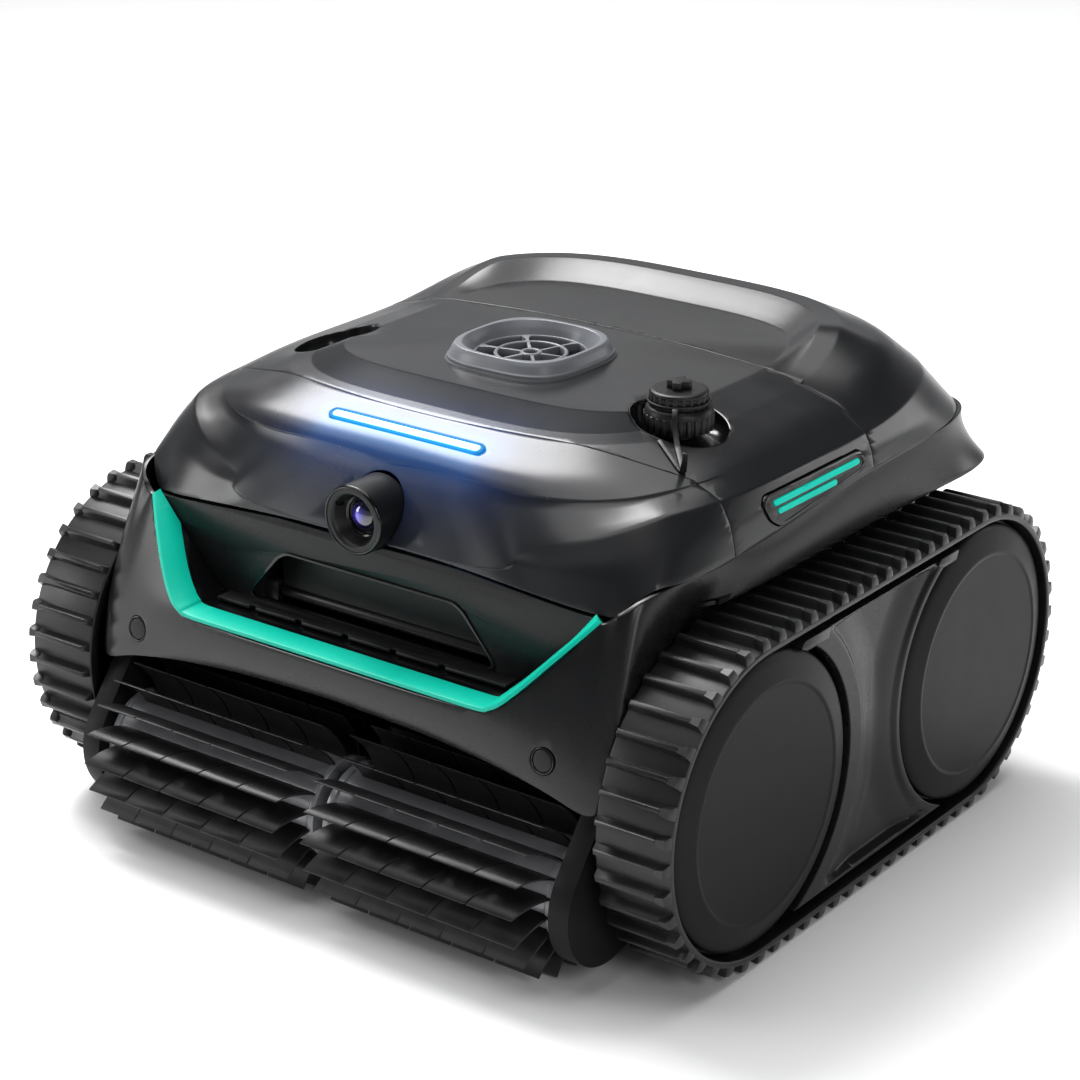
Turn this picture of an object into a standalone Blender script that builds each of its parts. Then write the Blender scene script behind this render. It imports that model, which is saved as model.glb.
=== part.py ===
"""Cordless tracked pool cleaner: shells, tracks, wheels, brushes, pump, lid and basket.

Frame: metres, +Z up. The front (brush side) faces -Y, X = 0 is the plane of symmetry and
Z = 0 is the ground under the tracks. The pieces are drawn about the point midway between
the wheel axles, and the last step moves them all by ORIGIN_Y, so that the origin is on the
ground under the middle of the whole cleaner. Lengths are given in millimetres and scaled by MM.
"""

import math

import bmesh
import bpy
from mathutils import Euler, Matrix, Vector

MM = 0.001
ORIGIN_Y = 8.5

# ---------------------------------------------------------------- driving dimensions
WHEELBASE_HALF = 107.0
AXLE_Z = 90.0
WHEEL_R = 79.8
DISC_R = 78.6
DISC_X = 215.4
BELT_IN_R = 81.0
BELT_OUT_R = 84.6
LUG_R = 90.0
LUGS = 66
TRACK_X0, TRACK_X1 = 170.2, 214.4

BRUSH_Y, BRUSH_Z, BRUSH_R = -172.0, 48.0, 48.0
BRUSH_X0, BRUSH_X1 = 3.0, 151.0
GEAR_TEETH, BRUSH_TEETH = 28, 15

TUB_X = 152.0
WALL = 3.0
FLOOR_Z = 22.0
ARCH_R = 51.5

HOOD_Y0 = 20.0
SEGMENTS = 44
LID_SEAM_Y = 50.0
SEAM_GAP = 0.15
LID_AXIS = (199.0, 211.0)
LID_HINGE_X = 60.0

VENT_Y = -16.5
CUP_X, CUP_Y, CUP_R = 115.0, -43.0, 26.0
CAMERA_Z = 209.0
CAMERA_R = 18.5

BASKET = (-92.0, 92.0, 54.0, 138.0, 76.0, 236.0)

# ---------------------------------------------------------------- scene
for obj in list(bpy.data.objects):
    bpy.data.objects.remove(obj, do_unlink=True)
for mesh in list(bpy.data.meshes):
    bpy.data.meshes.remove(mesh)

PARTS = bpy.data.collections.new("pool_cleaner")
CUTTERS = bpy.data.collections.new("cutters")
bpy.context.scene.collection.children.link(PARTS)
bpy.context.scene.collection.children.link(CUTTERS)


def material(name, color, roughness, metallic=0.0, emission=0.0):
    mat = bpy.data.materials.new(name)
    mat.use_nodes = True
    bsdf = mat.node_tree.nodes["Principled BSDF"]
    bsdf.inputs["Base Color"].default_value = (*color, 1.0)
    bsdf.inputs["Roughness"].default_value = roughness
    bsdf.inputs["Metallic"].default_value = metallic
    if emission:
        bsdf.inputs["Emission Color"].default_value = (*color, 1.0)
        bsdf.inputs["Emission Strength"].default_value = emission
    return mat


SHELL = material("graphite_plastic", (0.035, 0.036, 0.04), 0.32)
LOWER = material("dark_plastic", (0.02, 0.02, 0.022), 0.35)
BLACK = material("black_plastic", (0.008, 0.008, 0.009), 0.45)
RUBBER = material("track_rubber", (0.012, 0.012, 0.013), 0.5)
BRISTLE = material("brush_rubber", (0.02, 0.02, 0.022), 0.45)
GREY = material("grey_plastic", (0.16, 0.17, 0.19), 0.4)
TEAL = material("teal_plastic", (0.0, 0.75, 0.55), 0.4)
LIGHT = material("light_bar", (0.6, 0.95, 1.0), 0.3, 0.0, 4.0)
GLASS = material("lens_glass", (0.01, 0.01, 0.05), 0.05)
STEEL = material("steel", (0.6, 0.6, 0.62), 0.3, 1.0)
BOARD = material("pump_plastic", (0.05, 0.05, 0.055), 0.5)


# ---------------------------------------------------------------- helpers
def link(name, mesh, mat, cutter=False):
    obj = bpy.data.objects.new(name, mesh)
    (CUTTERS if cutter else PARTS).objects.link(obj)
    if cutter:
        obj.hide_render = True
        obj.display_type = "WIRE"
    if mat:
        mesh.materials.clear()
        mesh.materials.append(mat)
    return obj


def from_bmesh(name, bm, mat, cutter=False):
    bmesh.ops.recalc_face_normals(bm, faces=bm.faces)
    mesh = bpy.data.meshes.new(name)
    bm.to_mesh(mesh)
    bm.free()
    return link(name, mesh, mat, cutter)


def frozen(obj):
    """The object's evaluated shape as plain mesh data, its modifiers taken off."""
    bpy.context.view_layer.update()
    graph = bpy.context.evaluated_depsgraph_get()
    mesh = bpy.data.meshes.new_from_object(obj.evaluated_get(graph))
    bm = bmesh.new()
    bm.from_mesh(mesh)
    bmesh.ops.remove_doubles(bm, verts=bm.verts, dist=2e-6)
    bmesh.ops.recalc_face_normals(bm, faces=bm.faces)
    bm.to_mesh(mesh)
    bm.free()
    return mesh


def plate(name, outlines, axis, lo, hi, mat=None, cutter=False):
    """A flat outline (with holes) extruded along an axis: x takes (y, z), y takes (x, z), z takes (x, y)."""
    curve = bpy.data.curves.new(name + "_outline", "CURVE")
    curve.dimensions = "2D"
    curve.fill_mode = "BOTH"
    curve.extrude = (hi - lo) / 2 * MM
    for outline in outlines:
        spline = curve.splines.new("POLY")
        spline.points.add(len(outline) - 1)
        for point, (u, v) in zip(spline.points, outline):
            point.co = (u * MM, v * MM, 0, 1)
        spline.use_cyclic_u = True
    guide = bpy.data.objects.new(name + "_outline", curve)
    CUTTERS.objects.link(guide)
    mesh = frozen(guide)
    bpy.data.objects.remove(guide, do_unlink=True)
    mid = (lo + hi) / 2 * MM
    turn = {
        "z": Matrix.Translation((0, 0, mid)),
        "x": Matrix.Translation((mid, 0, 0)) @ Matrix(((0, 0, 1, 0), (1, 0, 0, 0), (0, 1, 0, 0), (0, 0, 0, 1))),
        "y": Matrix.Translation((0, mid, 0)) @ Matrix(((1, 0, 0, 0), (0, 0, -1, 0), (0, 1, 0, 0), (0, 0, 0, 1))),
    }[axis]
    mesh.transform(turn)
    return link(name, mesh, mat, cutter)


def box(name, x0, x1, y0, y1, z0, z1, mat=None, cutter=False):
    bm = bmesh.new()
    bmesh.ops.create_cube(bm, size=1.0)
    bmesh.ops.scale(bm, vec=((x1 - x0) * MM, (y1 - y0) * MM, (z1 - z0) * MM), verts=bm.verts)
    bmesh.ops.translate(bm, vec=((x0 + x1) / 2 * MM, (y0 + y1) / 2 * MM, (z0 + z1) / 2 * MM), verts=bm.verts)
    return from_bmesh(name, bm, mat, cutter)


TURN_TO = {
    "z": Matrix.Identity(4),
    "x": Matrix(((0, 0, 1, 0), (0, 1, 0, 0), (-1, 0, 0, 0), (0, 0, 0, 1))),
    "y": Matrix(((1, 0, 0, 0), (0, 0, 1, 0), (0, -1, 0, 0), (0, 0, 0, 1))),
}


def rod(name, axis, centre, radius, lo, hi, mat=None, cutter=False, sides=32, radius2=None):
    """A round bar along an axis between lo and hi; centre gives the other two coordinates."""
    bm = bmesh.new()
    bmesh.ops.create_cone(bm, cap_ends=True, segments=sides, radius1=radius * MM, radius2=(radius2 or radius) * MM, depth=(hi - lo) * MM)
    bm.transform(TURN_TO[axis])
    mid = (lo + hi) / 2
    at = {"x": (mid, *centre), "y": (centre[0], mid, centre[1]), "z": (*centre, mid)}[axis]
    bmesh.ops.translate(bm, vec=[v * MM for v in at], verts=bm.verts)
    return from_bmesh(name, bm, mat, cutter)


def turned(name, profile, axis, at, mat=None, cutter=False, steps=32, closed=True):
    """A profile of (radius, height) turned about an axis with a Screw; closed joins its last point to its first."""
    mesh = bpy.data.meshes.new(name)
    edges = [(i, i + 1) for i in range(len(profile) - 1)]
    if closed:
        edges.append((len(profile) - 1, 0))
    mesh.from_pydata([(r * MM, 0, h * MM) for r, h in profile], edges, [])
    obj = link(name, mesh, None, True)
    screw = obj.modifiers.new("Screw", "SCREW")
    screw.axis = "Z"
    screw.steps = steps
    screw.render_steps = steps
    screw.use_merge_vertices = True
    screw.merge_threshold = 0.00001
    whole = frozen(obj)
    bpy.data.objects.remove(obj, do_unlink=True)
    whole.transform(Matrix.Translation([v * MM for v in at]) @ TURN_TO[axis])
    return link(name, whole, mat, cutter)


def loft(name, rings, mat=None, cutter=False, cyclic=False, closed_ring=True, folded=False):
    """Skins rings of equal point count. cyclic joins the last ring to the first; otherwise the ends are capped.
    folded is for a thin wall whose second half of rings runs back inside the first: both skins are
    split along the same diagonals, so that they stay parallel."""
    bm = bmesh.new()
    rows = [[bm.verts.new((x * MM, y * MM, z * MM)) for x, y, z in ring] for ring in rings]
    count = len(rings[0])
    pairs = list(zip(rows, rows[1:]))
    if cyclic:
        pairs.append((rows[-1], rows[0]))
    half = len(rings) // 2
    for k, (low, high) in enumerate(pairs):
        for i in range(count if closed_ring else count - 1):
            j = (i + 1) % count
            if not folded:
                bm.faces.new((low[i], low[j], high[j], high[i]))
            elif k < half:
                bm.faces.new((low[i], low[j], high[j]))
                bm.faces.new((low[i], high[j], high[i]))
            else:
                bm.faces.new((low[i], low[j], high[i]))
                bm.faces.new((low[j], high[j], high[i]))
    if not cyclic and closed_ring:
        for row in (rows[0], rows[-1]):
            centre = bm.verts.new(sum((v.co for v in row), Vector()) / count)
            for i in range(count):
                bm.faces.new((row[i], row[(i + 1) % count], centre))
    return from_bmesh(name, bm, mat, cutter)


def boolean(obj, other, operation="DIFFERENCE"):
    mod = obj.modifiers.new(operation.title(), "BOOLEAN")
    mod.operation = operation
    mod.solver = "EXACT"
    mod.object = other
    if other.name in PARTS.objects:
        PARTS.objects.unlink(other)
        CUTTERS.objects.link(other)
    other.hide_render = True
    other.display_type = "WIRE"


def settle(obj):
    """Applies the modifiers, so that later steps start from the finished shape."""
    mesh = frozen(obj)
    mats = [m for m in obj.data.materials]
    obj.modifiers.clear()
    obj.data = mesh
    mesh.materials.clear()
    for m in mats[:1]:
        mesh.materials.append(m)
    return obj


def smooth(obj, angle=35.0):
    obj.data.shade_smooth()
    obj.data.set_sharp_from_angle(angle=math.radians(angle))


def bevel(obj, width, segments=1, angle=50.0):
    mod = obj.modifiers.new("Bevel", "BEVEL")
    mod.width = width * MM
    mod.segments = segments
    mod.limit_method = "ANGLE"
    mod.angle_limit = math.radians(angle)


def pivot(obj, at):
    """Puts the origin on the joint's axis without moving the shape."""
    offset = Vector([v * MM for v in at])
    obj.data.transform(Matrix.Translation(-offset))
    obj.location = offset


def circle(cx, cy, r, n, start=0.0):
    return [(cx + r * math.cos(start + 2 * math.pi * i / n), cy + r * math.sin(start + 2 * math.pi * i / n)) for i in range(n)]


def hull_of_two(c1, r1, c2, r2, n=20):
    """Outline round two circles, as a belt would run."""
    d = math.hypot(c2[0] - c1[0], c2[1] - c1[1])
    base = math.atan2(c2[1] - c1[1], c2[0] - c1[0])
    a = math.acos((r1 - r2) / d)
    pts = []
    for i in range(n + 1):
        t = base + a + (2 * math.pi - 2 * a) * i / n
        pts.append((c1[0] + r1 * math.cos(t), c1[1] + r1 * math.sin(t)))
    for i in range(n + 1):
        t = base - a + 2 * a * i / n
        pts.append((c2[0] + r2 * math.cos(t), c2[1] + r2 * math.sin(t)))
    return pts


def mirrored(obj, name):
    """The same piece on the left side."""
    mesh = frozen(obj)
    mesh.transform(Matrix.Translation(obj.location))
    mesh.transform(Matrix.Scale(-1, 4, (1, 0, 0)))
    mesh.flip_normals()
    copy = link(name, mesh, obj.data.materials[0])
    return copy


def smoothstep(t):
    t = max(0.0, min(1.0, t))
    return t * t * (3 - 2 * t)


# ---------------------------------------------------------------- hood surface
# half width, front y, rear y, front and rear corner exponents, z at front, side and rear
HOOD = (
    (40, -34, 74, 2.4, 2.4, 258.6, 258.0, 258.4),
    (107, -78, 117, 4.4, 3.6, 258.0, 254.6, 257.4),
    (119, -102, 139, 3.9, 3.4, 252.8, 251.9, 266.6),
    (130, -111, 152, 3.8, 3.3, 250.8, 249.4, 265.6),
    (154, -135, 174, 3.8, 3.2, 239.6, 243.0, 255.0),
    (170.5, -152, 190, 4.4, 3.4, None, 231.5, 238.0),
    (174.5, -155, 195, 4.6, 3.5, None, 223.0, 224.0),
    (176.5, -158, 198, 4.8, 3.5, None, 213.5, 213.5),
)


def lip_z(x, y):
    """Lower edge of the hood: over the front opening, up the corner, then back along the belt line."""
    x = abs(x)
    if y < -100 and x < 149:
        return 197.0 - 8.0 * (x / 145.0) ** 2
    rise = smoothstep((x - 149.0) / 20.0)
    along = 203.0 + 10.5 * smoothstep((y + 120.0) / 190.0)
    if y < -100:
        return (1 - rise) * (197.0 - 8.0 * (x / 145.0) ** 2) + rise * along
    return along


def hood_point(ring, angle, inset=0.0):
    a, f, r, nf, nr, zf, zs, zr = HOOD[ring]
    a, f, r = a - inset, f + inset, r - inset
    c, s = math.cos(angle), math.sin(angle)
    n = nf if s < 0 else nr
    x = a * math.copysign(abs(c) ** (2 / n), c)
    reach = (HOOD_Y0 - f) if s < 0 else (r - HOOD_Y0)
    y = HOOD_Y0 + reach * math.copysign(abs(s) ** (2 / n), s)
    outer_x = x * (a + inset) / a
    if s >= 0:
        z = zs + (zr - zs) * smoothstep(s / 0.55)
    elif zf is not None:
        z = zs + (zf - zs) * smoothstep(-s / 0.8)
    else:
        crease = min(231.5, 196.5 + 35.0 * (abs(outer_x) / 156.0) ** 2)
        low = lip_z(outer_x, y)
        z = {5: max(crease, low + 1.5), 6: low + (crease - low) * 0.55, 7: low}[ring]
        if ring == 6:
            z = max(z, low + 0.8)
    if ring == 7:
        z = lip_z(outer_x, y)
    return x, y, z - (0.0 if ring == 7 else inset)


def hood_ring(ring, inset=0.0, n=SEGMENTS):
    return [hood_point(ring, 2 * math.pi * (i + 0.5) / n, inset) for i in range(n)]


def hood_skin(name, outer, inner, mat=None, cutter=True):
    """Closed shell between two insets of the hood surface."""
    rings = [hood_ring(k, outer) for k in range(len(HOOD))]
    rings += [hood_ring(k, inner) for k in reversed(range(len(HOOD)))]
    return loft(name, rings, mat, cutter, folded=True)


def seam_y(x):
    """Front seam of the middle cover in plan."""
    return -110.0 + 28.0 * min(1.0, abs(x) / 150.0) ** 2.2


seam_line = [(x, seam_y(x)) for x in [i * 20.0 - 200.0 for i in range(21)]]
hood = settle(hood_skin("hood_blank", 0.0, WALL, SHELL))
hood_solid = loft("hood_solid", [hood_ring(k, 0.1) for k in range(len(HOOD))], None, True)


def section(name, outline, mat):
    """The slice of the hood inside a plan outline."""
    obj = link(name, hood.data.copy(), mat)
    cut = plate(name + "_slice", [outline], "z", 150, 300, None, True)
    boolean(obj, cut, "INTERSECT")
    return obj


visor = section("front_visor", [(x, y - SEAM_GAP) for x, y in seam_line] + [(210, -260), (-210, -260)], SHELL)
mid = section("mid_cover", [(x, y + SEAM_GAP) for x, y in seam_line] + [(210, LID_SEAM_Y - SEAM_GAP), (-210, LID_SEAM_Y - SEAM_GAP)], SHELL)
lid = section("rear_lid", [(-210, LID_SEAM_Y + SEAM_GAP), (210, LID_SEAM_Y + SEAM_GAP), (210, 260), (-210, 260)], SHELL)
for piece in (visor, mid, lid):
    settle(piece)

# lid hinge: two knuckles on the lid, between two pairs on the lower shell
for x0, x1 in ((-48.0, -36.0), (36.0, 48.0)):
    boolean(lid, rod("lid_knuckle", "x", LID_AXIS, 4.0, x0, x1, None, True, 20), "UNION")
    boolean(lid, box("lid_knuckle_arm", x0, x1, 193.5, LID_AXIS[0], 211.5, 216.5, None, True), "UNION")
for x0, x1 in ((-60.5, -49.9), (49.9, 60.5)):
    boolean(lid, rod("lid_relief", "x", LID_AXIS, 4.4, x0, x1, None, True, 20))
boolean(lid, rod("lid_bore", "x", LID_AXIS, 1.8, -70, 70, None, True, 12))
settle(lid)
pin = rod("lid_hinge_pin", "x", LID_AXIS, 1.45, -LID_HINGE_X, LID_HINGE_X, STEEL, sides=12)

# ---------------------------------------------------------------- lower shell
# side edge over and in front of the track (x, y, z), from the front centre to the rear centre
EDGE = ((0, -189, 118), (60, -189, 116), (110, -189, 111), (142, -189, 105), (157, -187.5, 100), (166, -184, 101), (169, -178, 119),
        (169.2, -171, 133), (169.2, -161, 144), (169.2, -148, 155), (169.2, -136, 165), (169.3, -122, 174), (169.6, -109, 181.5), (177.5, -92, 183.8), (180, -40, 184),
        (180, 40, 184), (180, 110, 184), (176, 150, 184), (160, 178, 184), (120, 191, 184), (60, 195, 184), (0, 195, 184))
BELT = ((0, -157, 187), (60, -157, 187), (110, -158, 187), (142, -159, 188), (151, -158, 190), (158, -155.5, 193), (162.5, -152, 196),
        (165.5, -147, 199), (167.5, -141, 200.5), (169, -134, 201.5), (170.3, -126, 202.3), (171.7, -117, 203), (173, -105, 203.8), (174.5, -88, 204.5), (174.5, -38, 208.5),
        (174.5, 40, 212), (174, 105, 212.6), (170, 148, 212.6), (156, 177, 212.6), (118, 189, 212.6), (60, 194, 212.6), (0, 195, 212.6))
FACE = ((0, -187, 150), (60, -187, 149), (110, -185, 148), (142, -181, 145), (157, -178.5, 141), (165, -174.5, 141), (168, -169, 150),
        (168.8, -162.5, 159), (169.2, -153, 167), (169.4, -143.5, 174), (169.7, -134, 181), (170.3, -122, 187), (172.5, -107, 192), (176, -86, 195), (178, -40, 197),
        (178, 40, 199), (177.6, 108, 199), (173.6, 149, 199), (158.6, 177.8, 199), (119.4, 190.5, 199), (60, 194.8, 199), (0, 195.4, 199))


def both_sides(curve):
    right = [(x, y, z) for x, y, z in curve]
    left = [(-x, y, z) for x, y, z in reversed(curve[1:-1])]
    return right + left


def thickened(curve, wall):
    """A skirt curve moved inward by the wall: back at the front, sideways along the flanks, forward at the rear."""
    last = len(curve) - 1
    out = []
    for i, (x, y, z) in enumerate(curve):
        turn = math.radians(90) * smoothstep((i - 2.5) / 4.0)
        turn += math.radians(90) * smoothstep((i - (last - 5.0)) / 3.0)
        out.append((max(0.0, x - wall * math.sin(turn)) if x else 0.0, y + wall * math.cos(turn), z))
    return out


def finer(curve):
    """Adds a point on a smooth curve halfway between each two."""
    out = []
    for i in range(len(curve) - 1):
        p = [curve[max(0, i - 1)], curve[i], curve[i + 1], curve[min(len(curve) - 1, i + 2)]]
        out.append(p[1])
        out.append(tuple((9 * (p[1][k] + p[2][k]) - p[0][k] - p[3][k]) / 16 for k in range(3)))
    return out + [curve[-1]]


def blend_rows(rows, steps=2):
    """Rows between the belt, the face and the edge, on a smooth bulge through all three."""
    top, mid_row, low = rows
    out = []
    for k in range(2 * steps + 1):
        t = k / (2 * steps)
        w = (2 * (t - 0.5) * (t - 1), 4 * t * (1 - t), 2 * t * (t - 0.5))
        out.append([tuple(w[0] * a[i] + w[1] * b[i] + w[2] * c[i] for i in range(3)) for a, b, c in zip(top, mid_row, low)])
    return out


UNDER_HOOD = [(x, y, min(z, lip_z(x, y) - 0.8)) for x, y, z in BELT]
skirt_rows = blend_rows([UNDER_HOOD, FACE, EDGE], 1)
skirt_out = [both_sides(row) for row in skirt_rows]
skirt_in = [both_sides(thickened(row, WALL)) for row in skirt_rows]
skirt = loft("skirt", skirt_out + list(reversed(skirt_in)), LOWER, True, cyclic=True, folded=True)

# tub: side profile behind the brush arch
arc = [(BRUSH_Y + ARCH_R * math.cos(t), BRUSH_Z + ARCH_R * math.sin(t)) for t in [math.radians(a) for a in (62, 48, 34, 20, 6, -8, -22, -30)]]
tub_outline = [(-148, 186), (-148, 94)] + arc + [(-128, FLOOR_Z), (192, FLOOR_Z), (192, 205), (186, 205), (186, 186)]
arc_in = [(BRUSH_Y + (ARCH_R + WALL) * math.cos(t), BRUSH_Z + (ARCH_R + WALL) * math.sin(t)) for t in [math.radians(a) for a in (62, 48, 34, 20, 6, -8, -22)]]
tub_inside = [(-145, 260), (-145, 97)] + arc_in + [(-121.5, FLOOR_Z + WALL), (189, FLOOR_Z + WALL), (189, 260)]


def tub_plan(inset, radius=38.0, steps=6):
    """Plan of the tub with rounded rear corners."""
    x, y, r = TUB_X - inset, 192.0 - inset, radius - inset
    corner = [(x - r + r * math.cos(t), y - r + r * math.sin(t)) for t in [math.radians(90 * i / steps) for i in range(steps + 1)]]
    return [(-x, -200.0), (x, -200.0)] + corner + [(-u, v) for u, v in reversed(corner)]


shell = plate("lower_shell", [tub_outline], "x", -TUB_X, TUB_X, LOWER)
boolean(shell, plate("tub_plan", [tub_plan(0.0)], "z", 10, 240, None, True), "INTERSECT")
for side in (-1, 1):
    boolean(shell, box("rear_wall_end", *sorted((side * 108.0, side * 160.0)), 180, 200, 186, 210, None, True))
ledge = [(-177.5, -98), (-177.5, 146), (-159, 175), (-119, 188), (0, 193), (119, 188), (159, 175), (177.5, 146), (177.5, -98)]
boolean(shell, plate("ledge", [ledge], "z", 184.2, 187.2, None, True), "UNION")
hollow = plate("tub_inside", [tub_inside], "x", -TUB_X + WALL, TUB_X - WALL, None, True)
boolean(hollow, plate("tub_hollow_plan", [tub_plan(WALL)], "z", 10, 280, None, True), "INTERSECT")
boolean(shell, hollow)
boolean(shell, skirt, "UNION")
settle(shell)
# ribs that tie the bumper to the tub on both sides of the front opening
for side in (-1, 1):
    boolean(shell, box("pillar_rib", *sorted((side * 147.7, side * 151.3)), -172.5, -145.7, 121, 147, None, True), "UNION")
settle(shell)

OPENING = ((-149.6, 215), (-149.6, 188), (-140.5, 177), (-130.5, 165.5), (-120.5, 154), (-111, 144.5), (-104, 140.2), (-96, 138.2), (-60, 137.8),
           (60, 137.8), (96, 138.2), (104, 140.2), (111, 144.5), (120.5, 154), (130.5, 165.5), (140.5, 177), (149.6, 188), (149.6, 215))
boolean(shell, plate("opening_cut", [OPENING], "y", -230, -150.5, None, True))
# seat of the intake box in the tub's front wall
boolean(shell, box("intake_box_seat", -84.4, 84.4, -160, -140, 131.6, 186.4, None, True))
# shafts, axles, suction mouth, hinge relief
for side in (-1, 1):
    boolean(shell, rod("shaft_bore", "x", (-WHEELBASE_HALF, AXLE_Z), 7.0, *sorted((side * 140, side * 160)), None, True, 24))
    boolean(shell, rod("axle_bore", "x", (WHEELBASE_HALF, AXLE_Z), 6.4, *sorted((side * 140, side * 160)), None, True, 24))
    boolean(shell, rod("plug_seat", "y", (side * 135.9, 122.1), 6.9, -200, -175, None, True, 20))
boolean(shell, box("mouth_cut", -45.6, 45.6, -118.8, -91.2, 10, 30, None, True))
boolean(shell, box("hinge_relief", -50, 50, 193, 215, 205.5, 220, None, True))
settle(shell)
for x0, x1 in ((-60.0, -50.5), (50.5, 60.0)):
    boolean(shell, rod("shell_knuckle", "x", LID_AXIS, 4.0, x0, x1, None, True, 20), "UNION")
    boolean(shell, box("shell_knuckle_arm", x0, x1, 190, LID_AXIS[0], 207, 211.5, None, True), "UNION")
boolean(shell, rod("shell_pin_bore", "x", LID_AXIS, 1.75, -70, 70, None, True, 12))
boolean(shell, box("rim_trim", -63, 63, 180, 197, 212.9, 222, None, True))
settle(shell)

# ---------------------------------------------------------------- front intake
TRIM = ((-149.2, 187.4), (-140.1, 176.6), (-130.1, 165.1), (-120.1, 153.6), (-110.6, 144.1), (-103.8, 140.0), (-96, 138.1), (-60, 137.9), (0, 137.9),
        (60, 137.9), (96, 138.1), (103.8, 140.0), (110.6, 144.1), (120.1, 153.6), (130.1, 165.1), (140.1, 176.6), (149.2, 187.4))


def face_y(z):
    """Front face of the bumper round the opening."""
    return -189.2 + 31.0 * max(0.0, (z - 140.0) / 48.0) ** 1.25


def inward(curve, offset):
    """Each point of an open plan curve moved to its left by offset."""
    out = []
    for i, (x, z) in enumerate(curve):
        a, b = curve[max(0, i - 1)], curve[min(len(curve) - 1, i + 1)]
        dx, dz = b[0] - a[0], b[1] - a[1]
        d = math.hypot(dx, dz)
        out.append((x - dz / d * offset, z + dx / d * offset))
    return out


outer_path, thick_path, back_path = inward(TRIM, 0.4), inward(TRIM, 3.2), inward(TRIM, 6.4)
sections = []
for (xo, zo), (xi, zi), (xb, zb) in zip(outer_path, thick_path, back_path):
    front = face_y(zo)
    back = min(front + 22.0, -156.4)
    t = (back - front) / 22.0
    xb, zb = xi + (xb - xi) * t, zi + (zb - zi) * t
    sections.append([(xo, front, zo), (xi, front, zi), (xb, back, zb), (xo, back, zo)])
loft("teal_trim", sections, TEAL)

SURROUND = [(-146, 187.5), (-124, 162), (-110, 146.5), (-100, 142.6), (100, 142.6), (110, 146.5), (124, 162), (146, 187.5), (110, 189.5), (60, 193), (-60, 193), (-110, 189.5)]
WINDOW = [(-82, 146), (-79, 151), (-62, 171), (-56, 174.5), (56, 174.5), (62, 171), (79, 151), (82, 146), (82, 142.9), (-82, 142.9)]
surround = plate("intake_surround", [SURROUND], "y", -155.5, -152.4, BLACK)
boolean(surround, plate("window_cut", [WINDOW], "y", -160, -150, None, True))
boolean(surround, box("intake_floor", -97, 97, -166.0, -152.4, 141.6, 143.6, None, True), "UNION")
boolean(surround, rod("camera_clear", "y", (0, CAMERA_Z), CAMERA_R + 0.6, -180, -140, None, True, 32))
settle(surround)

# open-fronted box behind the window
tunnel = box("intake_box", -84, 84, -151.9, -116, 132, 186, BLACK)
boolean(tunnel, box("intake_box_inside", -82, 82, -160, -118, 134, 184, None, True))
boolean(tunnel, box("intake_outlet", -60, 60, -119, -110, 136, 144, None, True))
settle(tunnel)
for side in (-1, 1):
    boolean(tunnel, box("flap_bracket", *sorted((side * 73.0, side * 82.5)), -144.5, -135.5, 139.5, 150.5, None, True), "UNION")
boolean(tunnel, rod("flap_bore", "x", (-140.0, 145.0), 2.2, -81, 81, None, True, 16))
settle(tunnel)
flap = box("front_flap", -71.5, 71.5, -141.2, -139.0, 146, 179, BLACK)
boolean(flap, rod("flap_barrel", "x", (-140.0, 145.0), 3.4, -71.5, 71.5, None, True, 20), "UNION")
boolean(flap, rod("flap_trunnion", "x", (-140.0, 145.0), 1.8, -78.5, 78.5, None, True, 16), "UNION")
settle(flap)
pivot(flap, (0, -140.0, 145.0))

# ---------------------------------------------------------------- light bar and camera
def stadium(cx, cy, half, r, n=10):
    pts = [(cx + half + r * math.cos(t), cy + r * math.sin(t)) for t in [math.pi * (i / n - 0.5) for i in range(n + 1)]]
    pts += [(cx - half + r * math.cos(t), cy + r * math.sin(t)) for t in [math.pi * (i / n + 0.5) for i in range(n + 1)]]
    return pts


def tilted(obj, angle, at):
    """Leans a piece made at the origin about X and moves it into place."""
    obj.data.transform(Matrix.Translation([v * MM for v in at]) @ Matrix.Rotation(math.radians(angle), 4, "X"))
    return obj


LED_AT, LED_TILT = (0.0, -123.4, 245.3), 25.5
led = tilted(plate("led_lens", [stadium(0, 0, 47.0, 3.4, 6)], "z", -3.2, 0.5, LIGHT), LED_TILT, LED_AT)
boolean(visor, tilted(plate("led_slot", [stadium(0, 0, 47.0, 3.8, 6)], "z", -8, 12, None, True), LED_TILT, LED_AT))
boolean(visor, rod("camera_hole", "y", (0, CAMERA_Z), CAMERA_R + 0.5, -190, -130, None, True, 32))
settle(visor)

cam = turned("camera_housing", [(0.0, 160.5), (8.8, 160.5), (9.6, 162.5), (14.2, 171.0), (17.2, 171.0), (CAMERA_R, 169.4), (CAMERA_R, 146.0), (0.0, 146.0)], "z", (0, 0, 0), BLACK, steps=32, closed=False)
lens = turned("camera_lens", [(0.0, 165.4), (4.0, 164.9), (7.0, 163.2), (8.2, 160.9), (0.0, 160.9)], "z", (0, 0, 0), GLASS, steps=24, closed=False)
for obj in (cam, lens):
    obj.data.transform(Matrix.Translation((0, 0, CAMERA_Z * MM)) @ Matrix.Rotation(math.radians(90), 4, "X"))

for side, label in ((1, "right"), (-1, "left")):
    rod(f"pillar_plug_{label}", "y", (side * 135.9, 122.1), 6.5, -191.0, -183.0, BLACK, sides=20)

# ---------------------------------------------------------------- vent, pump
def squircle(r, n_exp, z, count=24, cy=VENT_Y):
    pts = []
    for i in range(count):
        t = 2 * math.pi * i / count
        c, s = math.cos(t), math.sin(t)
        pts.append((r * math.copysign(abs(c) ** (2 / n_exp), c), cy + r * math.copysign(abs(s) ** (2 / n_exp), s), z))
    return pts


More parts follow.
